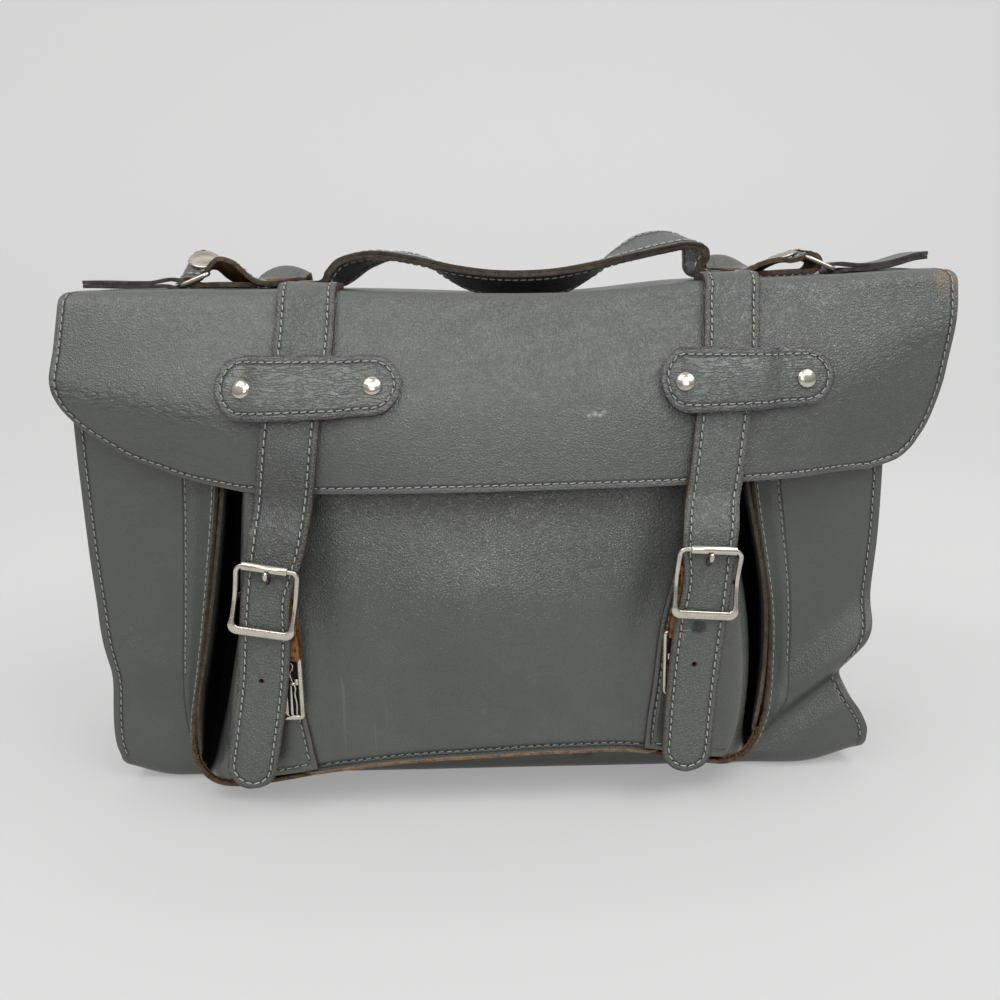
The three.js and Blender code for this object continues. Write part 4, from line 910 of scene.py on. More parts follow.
def panelPoint(x, rise):  # rise is measured along the leather from its lower edge, which turns outward
    low, high = pocketEnd(x), pocket["topZ"]
    if rise < 2.8:
        z = low + 1.1 * rise / 2.8
    else:
        z = mix(low + 1.1, high, (rise - 2.8) / (pocket["tall"] - 2.8))
    flare = 2.5 * max(1 - rise / 2.8, 0) - 0.7 * bell(rise, 3.4, 1.5)
    lip = pocket["lip"] * smooth(0.9, 1, (z - low) / (high - low)) * (1 - smooth(58, 76, abs(x - 3)))
    near = min(x - curve(pocket["left"], z), curve(pocket["right"], z) - x)  # from the closer side seam
    ease = smooth(0, 14, near)
    fall = 2.4 * (1 - smooth(0, 28, near)) * smooth(20, 60, z) * (1 - smooth(150, 176, z))  # beside the seams
    soft = sway((x, z, 4), 34, 0.6) + sway((x, z, 8), 15, 0.22)
    return Vector((x, pocketY(x, z) - (lip + flare) * smooth(-8, 0, near) + fall * ease + soft * ease, z))


def makePocketPanel():
    rises = [0, 0.7, 1.4, 2.1, 2.8, 3.3, 3.9, 4.8, 6, *steps(8, pocket["tall"], 56)]
    rows = []
    for rise in rises:
        z = 24 + rise
        xs = steps(curve(pocket["left"], z) - 7, curve(pocket["right"], z) + 6, 74)
        rows.append([panelPoint(x, rise) for x in xs])
    rim = [[rise for _ in row] for row, rise in zip(rows, rises)]
    paintedShade = []  # painted shade: darker and duller beside the straps, under the flap
    for row in rows:
        beside = [min(p.x - curve(pocket["left"], p.z), curve(pocket["right"], p.z) - p.x) for p in row]
        paintedShade.append([0.5 * (1 - smooth(2, 26, b)) * smooth(88, 128, p.z) for p, b in zip(row, beside)])
    looks = [pocketLook, tanLook, insideLook]
    piece = makeSheet("pocket_panel_leather", rows, pocket["thick"], looks, rim, 0.35, paintedShade)
    settle(piece, "grey_leather", "pocket_panel")
    path = []
    for x in steps(-80, 75, 120):
        path.append((panelPoint(x, 3.6), Vector((0, -1, 0.1)).normalized()))
    return [path]


pocketSeams = makePocketPanel()


welt = {
    "margin": 5, "stitchIn": 2.6,
    "run": [(0, -143, 178, -125, -64, 178), (1, -143.5, 157, -126, -65, 157), (2, -148, 104, -134.5, -66, 104),
            (3, -152, 67, -141.5, -66.5, 67), (4, -153.5, 42, -147, -66.5, 42), (5, -152, 26, -148, -67, 24),
            (6, -145, 15, -143, -68, 13), (7, -129, 12, -131, -71, 8.5), (8, -107, 12, -107, -75, 12),
            (9, -41, 14, -41, -79, 24), (10, 54, 15, 54, -79, 28), (11, 106, 14, 105, -75.5, 18),
            (12, 128, 15, 121, -71, 15), (13, 142, 22, 132, -68, 20), (14, 149, 34, 138, -67, 33),
            (15, 152.5, 55, 140.8, -66.5, 55), (16, 151.5, 95, 139.8, -66, 95), (17, 144.5, 151, 130.5, -65, 152),
            (18, 142, 178, 128, -64, 178)],  # run, base x and z, raw edge x, y and z
    "footLeft": [(0, 4.9), (2, 5.7), (4, 6.5), (6, 7.3), (9, 8.3)],  # place across a side strip, run
    "footRight": [(0, 13.9), (2, 13.2), (4, 12.6), (6, 12.0), (9, 11.2)],
}


def weltLine(run):
    at = lambda column, r=run: curve(welt["run"], r, column)
    ahead = Vector((at(1, run + 0.2) - at(1, run - 0.2), 0, at(2, run + 0.2) - at(2, run - 0.2)))
    outward = Vector((0, 1, 0)).cross(ahead).normalized() * welt["margin"]
    base = Vector((at(1), frontPanelY(at(1), at(2)) - 1.7, at(2)))
    margin = base + outward
    margin.y = frontPanelY(margin.x, margin.z) + 0.9  # rises out of the front leather without a step
    edge = Vector((at(3), at(4), at(5)))
    bend = base.lerp(edge, 0.3)
    bend.y = mix(base.y, edge.y, 0.16)
    mid = base.lerp(edge, 0.66)
    mid.y = mix(base.y, edge.y, 0.55)
    return [(k, *p) for k, p in enumerate((margin, base, bend, mid, edge))]


def weltPoint(line, k):
    return Vector([curve(line, k, c) for c in (1, 2, 3)])


def stripLine(side, t):  # one row across a side strip, from the raw edge round the roll to the seam
    table = pocket["left"] if side < 0 else pocket["right"]
    nominal = mix(pocket["topZ"], 12, t)
    seam, roll, valley = [curve(table, nominal, k) for k in (1, 2, 3)]
    ahead = pocketY(seam, max(nominal, 22)) - pocket["thick"] - body["seat"] - 0.2
    front = roll - side * 9
    runs = [(r[5], r[3], r[4]) for r in (welt["run"][5::-1] if side < 0 else welt["run"][13:])]
    edge, edgeY = curve(runs, nominal, 1) - side * 4.15, curve(runs, nominal, 2)
    line = [(0, edge, edgeY), (1, mix(edge, valley, 0.55), -58.5), (2, valley, pocket["valleyY"]),
            (3, mix(valley, roll, 0.55), -57.5), (4, roll + side * 1.2, -64), (5, roll, pocket["rollY"]),
            (6, roll - side * 3, pocket["rollY"] - 6), (7, front, ahead + 1.2),
            (8, mix(front, seam, 0.5), ahead - 0.4), (9, seam, ahead)]
    return line


def weltEdge(run, inward):  # a place on the welt's raw edge, moved toward the pocket
    at = lambda column, r=run: curve(welt["run"], r, column)
    ahead = Vector((at(3, run + 0.15) - at(3, run - 0.15), 0, at(5, run + 0.15) - at(5, run - 0.15)))
    return Vector((at(3), at(4), at(5))) - Vector((0, 1, 0)).cross(ahead).normalized() * inward


def stripPoint(side, t, k):
    line = stripLine(side, t)
    x, y = curve(line, k, 1), curve(line, k, 2)
    z = mix(pocket["topZ"], pocketEnd(x) + 1.5, t)
    point = Vector((x, y + sway((x, z, 7), 30, 0.35) * smooth(5, 7, k), z))
    foot = weltEdge(curve(welt["footLeft" if side < 0 else "footRight"], k), 4.2)
    share = smooth(0.70, 1, t) ** 1.6 * (1 - smooth(6.6, 8.6, k))
    return point.lerp(foot, share)  # the fold closes round the lower corner


def makePocketStrip(name, side):
    places = steps(0, 9, 46)
    if side > 0:
        places = places[::-1]
    falls = [*steps(1, 0.96, 5), *steps(0.945, 0, 54)]
    rows = [[stripPoint(side, t, k) for k in places] for t in falls]
    rim = []
    for row, t in zip(rows, falls):
        seam = stripLine(side, t)[-1][1]
        rim.append([min(abs(p.x - seam), p.z - pocketEnd(p.x) - 1.5 if abs(p.x) < 118 else 40) for p in row])
    shut = lambda t: mix(4.5, 2.5, smooth(0.5, 0.95, t))  # the painted shade in the fold narrows downward
    # painted shade: the leather down inside the fold is darkened to near black
    paintedShade = [[smooth(0.1, 0.5, k) * (1 - smooth(shut(t), shut(t) + 1.3, k)) for k in places] for t in falls]
    looks = [pocketLook, weltEdgeLook, insideLook]
    piece = makeSheet(name + "_leather", rows, pocket["thick"], looks, rim, 0.35, paintedShade, True)
    settle(piece, "grey_leather", name)
    inner, low = [], []
    for t in steps(0.02, 0.965, 110):
        line = stripLine(side, t)
        share = 9 - pocket["stitchIn"] / abs(line[-1][1] - line[-2][1])
        p = stripPoint(side, t, share)
        q = (stripPoint(side, t, share - 0.1) - p).cross(stripPoint(side, t - 0.01, share) - p)
        q = q if q.y < 0 else -q
        inner.append((p, q.normalized()))
    for k in steps(6.9 if side < 0 else 7.6, 8.72, 40):
        p = stripPoint(side, 0.978, k)
        q = (stripPoint(side, 0.978, k + 0.05) - p).cross(stripPoint(side, 0.95, k) - p)
        q = q if q.y < 0 else -q
        low.append((p, q.normalized()))
    return [inner, low]


pocketSeams += makePocketStrip("pocket_strip_left", -1)
pocketSeams += makePocketStrip("pocket_strip_right", 1)
print("pocket ready")


def makeWelt():
    places = steps(0, 4, 17)
    runs = steps(0, 18, 190)
    lines = [weltLine(run) for run in runs]
    rows = [[weltPoint(line, k) for line in lines] for k in places]
    rim = []
    for k in places:
        rim.append([min((weltPoint(line, k) - weltPoint(line, 0)).length,
                        (weltPoint(line, k) - weltPoint(line, 4)).length) for line in lines])
    looks = [weltLook, weltEdgeLook, insideLook]
    piece = makeSheet("pocket_welt_leather", rows, pocket["thick"], looks, rim, 0.35, rawRim=True)
    settle(piece, "grey_leather", "pocket_welt")
    outer, inner = [], []
    for line, after in zip(lines, lines[1:]):
        nearEdge = 4 - 0.5 * welt["stitchIn"] / (weltPoint(line, 3.5) - weltPoint(line, 4)).length
        for path, k in ((outer, 0.85), (inner, nearEdge)):
            p = weltPoint(line, k)
            q = (weltPoint(after, k) - p).cross(weltPoint(line, k - 0.2) - p)
            path.append((p, (q if q.y < 0 else -q).normalized()))
    down = [spot for spot, run in zip(outer, runs) if run < 3.3]
    up = [spot for spot, run in zip(outer, runs) if run > 15.1]
    return [down, up, inner]


pocketSeams += makeWelt()
weltRuns = [(weltEdge(r, 2.0), Vector((0, -1, 0))) for r in steps(1, 17, 160)]
weltCorners = [[(weltEdge(r, inward), Vector((0, -1, 0.2))) for r in steps(a, b, 40)]
               for a, b in ((4.2, 7.4), (11.4, 14)) for inward in (0.8, 2.6, 4.0)]
fray("welt_fibres", [weltRuns, weltRuns] + weltCorners, 210, 1.5, tanLook, "raw_leather", 21)
lowEdge = [(panelPoint(x, 0.3), Vector((0, -0.7, -0.7))) for x in steps(-80, 76, 80)]
fray("pocket_edge_fibres", [lowEdge], 420, 1.3, tanLook, "raw_leather", 22)
# painted shade: the pocket's lowest stitch row uses the darker thread
sew("pocket_edge_stitches", pocketSeams[:1], weight=0.8, thread=darkShadedThread, seed=9)
sew("pocket_stitches", pocketSeams[1:], weight=0.7, thread=softThread, seed=3)
sew("panel_stitches", bodySeams, weight=0.65, thread=softThread, seed=4)
print("welt ready")


strap = {
    "thick": 3.2, "endY": -24, "stitchIn": 3.1, "crown": 0.35,
    "fall": [(18, -88.3), (50, -89.4), (70, -89.8), (85, -90.4), (98, -91.1), (108, -92), (122, -92), (131, -91.1),
             (142, -89.3), (158, -85)],  # z, y of the back face
    "left": [(18, -114.2, 23.5), (69, -104, 23.6), (97, -100.4, 23.4), (106, -99.6, 22.4), (116, -98.2, 22.2),
             (131, -94.4, 25), (141, -92, 26.2), (164, -88.2, 27), (192, -84, 26.8), (222, -79.5, 27),
             (252, -79, 27)],  # z, x, width
    "right": [(22, 94.6, 23.5), (64, 97, 23.8), (100, 100.2, 23.8), (108, 101.5, 22.6), (120, 102.8, 22.2),
              (135, 103.4, 24.4), (161, 107, 25), (193, 111, 25), (220, 116, 25), (252, 119.5, 25.5)],
    "spareHole": {"left": (-103.9, 73.7), "right": (97.5, 77.3)},
}
sides = {
    "left": {"keeperX": -76.5, "keeperZ": 207.4, "long": 42, "rivets": (-28.3, 29.2),
             "buckle": (-98.9, 113.6), "tilt": 10, "clasp": (-98.6, 67.4), "shear": 5.5, "lean": 2.6, "roller": -1.2},
    "right": {"keeperX": 123, "keeperZ": 206.6, "long": 40, "rivets": (-28.4, 26.2),
              "buckle": (101.9, 117.6), "tilt": 4, "clasp": (96.6, 76), "shear": -2.8, "lean": -1.8, "roller": 1.3},
}


def strapBack(x, z):
    onFlap = flapFront(x, max(z, 158)) - body["seat"] * 1.3
    return mix(curve(strap["fall"], z), onFlap, smooth(140, 158, z))


def strapSpot(line, z, across, out):  # across in millimetres from the middle
    lean = (curve(line, z + 4) - curve(line, z - 4)) / 8
    way = Vector((1, 0, -lean)).normalized()
    return offFront(strapBack, curve(line, z) + way.x * across, z + way.z * across, out)


def inBuckle(side, x, y, z):
    (bx, bz), tilt = sides[side]["buckle"], math.radians(sides[side]["tilt"])
    return Vector((bx + x * math.cos(tilt) + z * math.sin(tilt), y, bz - x * math.sin(tilt) + z * math.cos(tilt)))


def makeStrap(side):
    line = strap[side]
    tipZ, thick = line[0][0], strap["thick"]
    half = lambda z: curve(line, z, 2) / 2
    crown = lambda k: -strap["crown"] * abs(k) ** 3
    acrossSteps = steps(-1, 1, 13)
    tipRows = [tipZ + 11.75 * (1 - math.cos(a)) for a in steps(0.12, math.pi / 2, 12)]
    rows, rim = [], []
    for z in [*tipRows, *steps(tipZ + 13.5, 243, 104)]:
        left = max(z - tipZ, 0)
        wide = half(z) if left >= half(z) else math.sqrt(max(half(z) ** 2 - (half(z) - left) ** 2, 0.3))
        rows.append([strapSpot(line, z, k * wide, thick + crown(k))[0] for k in acrossSteps])
        rim.append([half(z) - math.hypot(k * wide, max(half(z) - left, 0)) for k in acrossSteps])
    topX, topHalf = curve(line, 252), half(252)
    for degrees in (58, 48, 38, 28, 18, 8, 0):
        a, out = math.radians(degrees), body["seat"] + thick
        rows.append([turnPoint(topX + k * topHalf, a, out + crown(k)) for k in acrossSteps])
        rim.append([topHalf * (1 - abs(k)) for k in acrossSteps])
    xs = [topX + k * topHalf for k in acrossSteps]
    for y in steps(-38, strap["endY"], 6):
        rows.append([(x, y, topZ(x, y) + body["seat"] + thick) for x in xs])
        rim.append([topHalf * (1 - abs(k)) for k in acrossSteps])
    looks = [strapLook, edgeLook, strapLook]
    piece = makeSheet("strap_" + side + "_leather", rows, thick, looks, rim, 0.8, rawRim=True)
    spareX, spareZ = strap["spareHole"][side]
    holes = [(inBuckle(side, 0, -93.5, 9.6), 1.4, 1.3), (Vector((spareX, -93, spareZ)), 1.15, 1)]
    for place, radius, tall in holes:
        selectNone()
        bpy.ops.mesh.primitive_cylinder_add(vertices=18, radius=radius * mm, depth=0.016)
        cutter = bpy.context.object
        cutter.data.materials.append(brownLook)
        shape = Matrix.Diagonal((1, 1, tall, 1)) @ Matrix.Rotation(math.pi / 2, 4, "X")
        cutter.data.transform(Matrix.Translation(place * mm) @ shape)
        cutting = piece.modifiers.new("hole", "BOOLEAN")
        cutting.object = cutter
        cutting.operation = "DIFFERENCE"
        cutting.solver = "EXACT"
        cutting.material_mode = "TRANSFER"
        applyModifiers(piece)
        bpy.data.objects.remove(cutter)
    smoothByAngle(piece, 48)
    settle(piece, "strap_leather", "strap_" + side)
    inside = strap["stitchIn"]
    down, up, tip = [], [], []
    for z in steps(243, tipZ + half(tipZ), 190):
        down.append(strapSpot(line, z, -half(z) + inside, thick))
    for angle in steps(0, math.pi, 40):
        reach = half(tipZ) - inside
        z = tipZ + half(tipZ) - reach * math.sin(angle)
        tip.append(strapSpot(line, z, -reach * math.cos(angle), thick))
    for z in steps(tipZ + half(tipZ), 243, 190):
        up.append(strapSpot(line, z, half(z) - inside, thick))
    ends = []
    for k in (-1, 1):
        x = topX + k * (topHalf - inside)
        turns = [math.radians(degrees) for degrees in (60, 40, 20, 0)]
        over = [(turnPoint(x, a, body["seat"] + thick), turnNormal(a)) for a in turns]
        over += [(Vector((x, y, topZ(x, y) + body["seat"] + thick)), Vector((0, 0, 1))) for y in (-34, -26)]
        ends.append(over)
    return [ends[0][::-1] + down + tip + up + ends[1]]


keeper = {
    "rise": 13.1, "thick": 2.2, "stitchIn": 3.1, "rivet": 4.3,
    "dome": [0.7, (0.25, 0.28), (0.7, 0.42), (0.9, 0.3), (0.9, 0.15), (0.9, 0.06)],  # height, then inset and rise
}


def makeKeeper(side):
    at = sides[side]
    halfLong, rise, thick = at["long"], keeper["rise"], keeper["thick"]
    line = strap[side]
    half = curve(line, at["keeperZ"], 2) / 2
    strapX = lambda z: curve(line, z) - at["keeperX"]
    over = lambda u, z: (strap["thick"] + 0.6) * (1 - smooth(half + 0.5, half + 13, abs(u - strapX(z))))

    def reach(u):
        past = max(abs(u) - (halfLong - rise), 0) / rise
        return rise * max(math.sqrt(max(1 - past ** 2, 0)), 0.03)

    def spot(u, v, out=0.0):
        z = at["keeperZ"] + v
        depth = lambda x, h: flapFront(x, h) - over(x - at["keeperX"], h)
        z += v * 0.07 * (-u / halfLong)  # cut a little narrower toward the right
        return offFront(depth, at["keeperX"] + u, z, body["seat"] + thick + 0.5 + out)

    ends = [halfLong - rise * (1 - math.cos(a)) for a in steps(0.05, math.pi / 2, 14)]
    us = sorted([-e for e in ends] + ends + steps(-(halfLong - rise) + 1.2, halfLong - rise - 1.2, 44))
    vs = steps(-1, 1, 17)
    rows = [[spot(u, v * reach(u), -0.3 * abs(v) ** 3)[0] for u in us] for v in vs]
    rim = []
    for v in vs:
        rim.append([rise - math.hypot(max(abs(u) - (halfLong - rise), 0), v * reach(u)) for u in us])
    looks = [keeperLook, edgeLook, insideLook]
    piece = makeSheet("keeper_" + side + "_leather", rows, thick, looks, rim, 0.6, rawRim=True)
    settle(piece, "strap_leather", "keeper_" + side)
    inner = rise - keeper["stitchIn"]
    loop = [(u, inner) for u in steps(-(halfLong - rise), halfLong - rise, 60)]
    loop += [(halfLong - rise + inner * math.sin(a), inner * math.cos(a)) for a in steps(0, math.pi, 40)[1:]]
    loop += [(u, -inner) for u in steps(halfLong - rise, -(halfLong - rise), 60)[1:]]
    loop += [(-(halfLong - rise) - inner * math.sin(a), -inner * math.cos(a)) for a in steps(0, math.pi, 40)[1:]]
    for k, u in enumerate(at["rivets"], 1):
        foot, up = spot(u, -1, body["seat"] * 0.6)
        up = (up + Vector((0, -1.2, 0.3))).normalized()
        cap = makeCap(f"rivet_{side}_{k}_cap", foot, up, nickelTrim, keeper["rivet"], keeper["dome"])
        settle(cap, "nickel", f"rivet_{side}_{k}")
    return [[spot(u, v) for u, v in loop]]


strapSeams = makeStrap("left") + makeStrap("right")
strapRims, strapTails = [], []
for side in ("left", "right"):
    line = strap[side]
    for k in (-1, 1):
        rim = []
        for z in steps(line[0][0] + 14, 240, 110):
            spot = strapSpot(line, z, k * (curve(line, z, 2) / 2 - 0.2), strap["thick"] * 0.55)[0]
            rim.append((spot, Vector((k, -0.35, 0))))
        strapRims.append(rim)
tail = strapSpot(strap["right"], 23, 3, strap["thick"])[0]
strapTails.append([(tail, Vector((0.25, -0.3, -1))), (tail + Vector((1.5, 0, 0)), Vector((0.4, -0.3, -1)))])
knot = strapSpot(strap["right"], 97, -8.4, strap["thick"])[0]
strapTails.append([(knot, Vector((0.6, -0.8, -0.6))), (knot + Vector((0.3, 0, -10)), Vector((0.4, -0.9, -0.5)))])
fray("strap_fibres", strapRims, 230, 0.9, edgeLook, "strap_leather", 23, 0.08)
fray("thread_tails", strapTails, 3, 4.0, threadTrim, "strap_leather", 24, 0.2)
print("straps ready")
keeperSeams = makeKeeper("left") + makeKeeper("right")
sew("strap_stitches", strapSeams, "strap_leather", 0.75, seed=5)
sew("keeper_stitches", keeperSeams, "strap_leather", 0.75, softThread, 6)
print("keepers and rivets ready")

def quarter(u, v, radius, start, count):  # round a corner, from an angle on
    turns = steps(start, start + math.pi / 2, count)
    return [(u + radius * math.cos(a), v + radius * math.sin(a)) for a in turns]


buckle = {
    "halfX": 13.8, "top": 15.8, "bottom": -15.2, "corner": 3.0,
    "bow": [(-15.2, -96.6), (-12.6, -96.5), (-7.5, -95.3), (0, -94.2), (7, -95.4), (12.8, -97.1),
            (15.8, -97.2)],  # z, y
    "prong": [(0, -86.2, -1.4), (1, -87.4, -2.4), (2, -89, -2.2), (3, -90.3, -0.6), (4, -90.7, 2.4), (5, -91.8, 6.4),
              (6, -94.4, 9), (7, -97.4, 10.4), (8, -99.9, 12), (9, -100.8, 15.2)],  # run, y, z
    "chape": [(0, -89.9, -29), (1, -89.9, -10), (2, -90.5, -4.5), (3, -91.4, 0), (4, -90.4, 2.4), (5, -88, 3.4),
              (6, -85.6, 2.4), (7, -84.6, 0), (8, -85.3, -4.5), (9, -85.9, -10), (10, -85.9, -29)],
    "chapeHalf": 9.6, "chapeThick": 1.8, "slot": (0.0034, 0.012, 0.009), "bar": 1.15, "pin": 1.3,
    "rollerY": -97.2, "rollerRadius": 2.2, "rollerLong": 20.4, "rollerWall": 0.6,
}


def chapeDrift(side, z):
    return sides[side]["lean"] + sides[side]["shear"] * smooth(0, 29, -z)


def makeBuckle(side):
    hx, top, bottom, corner = buckle["halfX"], buckle["top"], buckle["bottom"], buckle["corner"]
    inX, lowZ, highZ = hx - corner, bottom + corner, top - corner  # centres of the corners
    bend = lambda x, z, start: quarter(x, z, corner, start, 8)[1:]
    flat = [(x, bottom) for x in steps(-inX, inX, 14)] + bend(inX, lowZ, -math.pi / 2)
    flat += [(hx, z) for z in steps(lowZ, highZ, 26)[1:]] + bend(inX, highZ, 0)
    flat += [(x, top) for x in steps(inX, -inX, 14)[1:]] + bend(-inX, highZ, math.pi / 2)
    flat += [(-hx, z) for z in steps(highZ, lowZ, 26)[1:]] + bend(-inX, lowZ, math.pi)[:-1]
    line = [inBuckle(side, x, curve(buckle["bow"], z), z) for x, z in flat]
    sections = []
    for x, z in flat:
        low = 1 - smooth(bottom + 0.5, bottom + 5, z)
        high = smooth(top - 3, top, z)
        sections.append((1.05 - 0.12 * bell(z, -4, 7) + 0.95 * low - 0.05 * high, 1.0 - 0.1 * low, 0.5))
    piece = makeRing(f"buckle_{side}_frame", line, sections, nickelTrim, Vector((0, 1, 0)))
    barLine = [inBuckle(side, x, mix(-88, -94.2, smooth(10.6, 13.8, abs(x))), 0) for x in steps(-hx, hx, 40)]
    bar = makeRod("bar", barLine, [buckle["bar"]] * 40, nickelTrim)
    piece = joinPieces([piece, bar], f"buckle_{side}_frame")
    settle(piece, "nickel", "buckle_" + side)

    selectNone()
    bpy.ops.mesh.primitive_cylinder_add(vertices=32, radius=buckle["rollerRadius"] * mm,
                                        depth=buckle["rollerLong"] * mm, end_fill_type="NOTHING")
    tube = bpy.context.object
    tube.name = f"roller_{side}_tube"
    wallMod = tube.modifiers.new("wall", "SOLIDIFY")
    wallMod.thickness, wallMod.offset = buckle["rollerWall"] * mm, -1
    bevel = tube.modifiers.new("softRim", "BEVEL")
    bevel.width, bevel.segments, bevel.angle_limit = 0.18 * mm, 2, math.radians(50)
    applyModifiers(tube)
    tube.data.materials.append(nickelTrim)
    smoothByAngle(tube, 50)
    way = (inBuckle(side, 1, 0, 0) - inBuckle(side, 0, 0, 0)).normalized()
    placeMesh(tube, inBuckle(side, sides[side]["roller"], buckle["rollerY"], top), way)
    settle(tube, "nickel", "roller_" + side)

    runs = steps(0, 9, 40)
    line = [inBuckle(side, 0, curve(buckle["prong"], r, 1), curve(buckle["prong"], r, 2)) for r in runs]
    tip = lambda r: 1 if r < 8.6 else math.sqrt(max(1 - ((r - 8.6) / 0.4) ** 2, 0.02))
    radii = [buckle["pin"] * mix(1, 0.92, r / 9) * tip(r) for r in runs]
    pin = makeRod(f"prong_{side}_pin", line, radii, nickelTrim)
    settle(pin, "nickel", "prong_" + side)

    half = buckle["chapeHalf"]
    rows = []
    for k in steps(-1, 1, 15):
        row = []
        for r in steps(0, 10, 84):
            y, z = curve(buckle["chape"], r, 1), curve(buckle["chape"], r, 2)
            ragged = sway((k * 7, r * 11, 2), 3.1, 0.5) if abs(k) > 0.95 else 0
            row.append(inBuckle(side, k * half + chapeDrift(side, z) + ragged, y, z))
        rows.append(row)
    piece = makeSheet(f"chape_{side}_leather", rows, buckle["chapeThick"], [chapeLook] * 3, None, 0.5)
    selectNone()
    bpy.ops.mesh.primitive_cube_add(size=1)
    slotTool = bpy.context.object
    turn = Matrix.Rotation(math.radians(sides[side]["tilt"]), 4, "Y")
    place = Matrix.Translation(inBuckle(side, 0, -88, 1.5) * mm)
    slotTool.data.transform(place @ turn @ Matrix.Diagonal((*buckle["slot"], 1)))
    cutting = piece.modifiers.new("slot", "BOOLEAN")
    cutting.object, cutting.operation, cutting.solver = slotTool, "DIFFERENCE", "EXACT"
    applyModifiers(piece)
    bpy.data.objects.remove(slotTool)
    settle(piece, "raw_leather", "chape_" + side)


makeBuckle("left")
makeBuckle("right")
chapeRims = []
for side in ("left", "right"):
    for k in (-1, 1):
        reach = lambda z: k * buckle["chapeHalf"] + chapeDrift(side, z)
        for y in (-89.2, -86.8):
            chapeRims.append([(inBuckle(side, reach(z), y, z), Vector((k, -0.5, 0))) for z in steps(-28.5, 2, 40)])
fray("chape_fibres", chapeRims, 130, 1.6, chapeLook, "raw_leather", 25)
print("buckles ready")

clasp = {
    "y": -86.6, "wide": 25, "tall": 31.5, "corner": 1.2, "wire": 0.55,
    "spring": [(0, 8.9, -13.5), (1, 9.1, -8), (2, 8.5, -3), (3, 8.9, 0), (4, 7.2, 4.5), (5, 6.6, 7.5), (6, 7.9, 9.4),
               (7, 8.2, 11.4), (8, 6.8, 12.8)],  # run, across, up
}


def makeBox(name, size, at, look, bevelWidth):
    selectNone()
    bpy.ops.mesh.primitive_cube_add(size=1)
    piece = bpy.context.object
    piece.name = name
    piece.data.transform(Matrix.Translation(Vector(at) * mm) @ Matrix.Diagonal((*[s * mm for s in size], 1)))
    bevel = piece.modifiers.new("softEdges", "BEVEL")
    bevel.width, bevel.segments = bevelWidth * mm, 3
    applyModifiers(piece)
    piece.data.materials.append(look)
    smoothByAngle(piece, 40)
    return piece


def makeClasp(side):
    cx, cz = sides[side]["clasp"]
    cy, wide, tall = clasp["y"], clasp["wide"] / 2 - 0.9, clasp["tall"] / 2 - 0.9
    inner = 1 if side == "left" else -1
    corner, bends = clasp["corner"], clasp["spring"]
    inU, inV = wide - corner, tall - corner
    flat = []
    for u, v, start in ((inU, inV, 0), (-inU, inV, 0.5), (-inU, -inV, 1), (inU, -inV, 1.5)):  # quarter turns, in pi
        flat += quarter(u, v, corner, start * math.pi, 7)
    line = [Vector((cx + u, cy - 0.2, cz + v)) for u, v in flat]
    rail = makeRing("rail", line, [(1.2, 1.5, 0.6)] * len(line), nickelTrim, Vector((0, 1, 0)))
    # the tray's back plate is painted near-black as the shade inside the tray
    back = makeBox("back", (2 * wide, 0.7, 2 * tall), (cx, cy + 1.3, cz), holeShadeTrim, 0.2)
    tray = joinPieces([rail, back], f"clasp_tray_{side}_rail")
    settle(tray, "nickel", "clasp_tray_" + side)
    at = lambda u, v, out: (cx + inner * u, cy - out, cz + v)
    parts = [makeBox("plate", (12, 0.9, 27), at(-1, -1, 0), nickelTrim, 0.25),
             makeBox("bolt", (1.5, 1.3, 17), at(6.6, -7.4, 0.2), nickelTrim, 0.4),
             makeBox("cross", (6.6, 1.4, 1.7), at(7.4, 2.2, 0.7), nickelTrim, 0.55),
             makeBox("knob", (1.8, 1.7, 3.2), at(9.7, 3.2, 0.8), nickelTrim, 0.6)]
    spring = [Vector(at(curve(bends, r, 1), curve(bends, r, 2), 0.5)) for r in steps(0, 8, 60)]
    parts.append(makeRod("spring", spring, [clasp["wire"]] * 60, nickelTrim, 10))
    hook = joinPieces(parts, f"clasp_hook_{side}_bolt")
    settle(hook, "nickel", "clasp_hook_" + side)


makeClasp("left")
makeClasp("right")
print("clasps ready")

handle = {
    "thick": 4.0, "nearY": -16, "farY": 11, "stitchIn": 3.4,
    "run": [(0, -92, 254.2, -90, 254.6), (1, -79, 254.8, -74, 254.4), (2, -75.6, 259.6, -67, 256.8),
            (3, -68.2, 265.8, -56, 263.8), (4, -52, 268.5, -41, 268), (5, -31, 265.4, -24, 264),
            (6, -9, 260.6, -6, 252), (7, 12, 257.9, 14, 246.8), (8, 36, 258, 40, 247), (9, 58, 261, 58, 256),
            (10, 76, 264.2, 72, 267.5), (11, 92, 267.2, 84, 274.5), (12, 106, 269.3, 98, 275.8),
            (13, 115, 266.8, 109, 270.5), (14, 116.6, 261, 111, 262), (15, 114, 256.6, 111.5, 256.8),
            (16, 117, 254.9, 116, 254.9), (17, 123, 254.9, 122, 254.9)],  # run, near x and z, far x and z
}


def handleSpot(run, t):
    near = Vector((curve(handle["run"], run, 1), handle["nearY"], curve(handle["run"], run, 2)))
    far = Vector((curve(handle["run"], run, 3), handle["farY"], curve(handle["run"], run, 4)))
    return near.lerp(far, t)


def handleNormal(run, t):
    ahead = handleSpot(min(run + 0.05, 17), t) - handleSpot(max(run - 0.05, 0), t)
    return ahead.cross(handleSpot(run, 1) - handleSpot(run, 0)).normalized()


def handleUnder(run, t):  # on the lower face
    return handleSpot(run, t) - handleNormal(run, t) * handle["thick"]


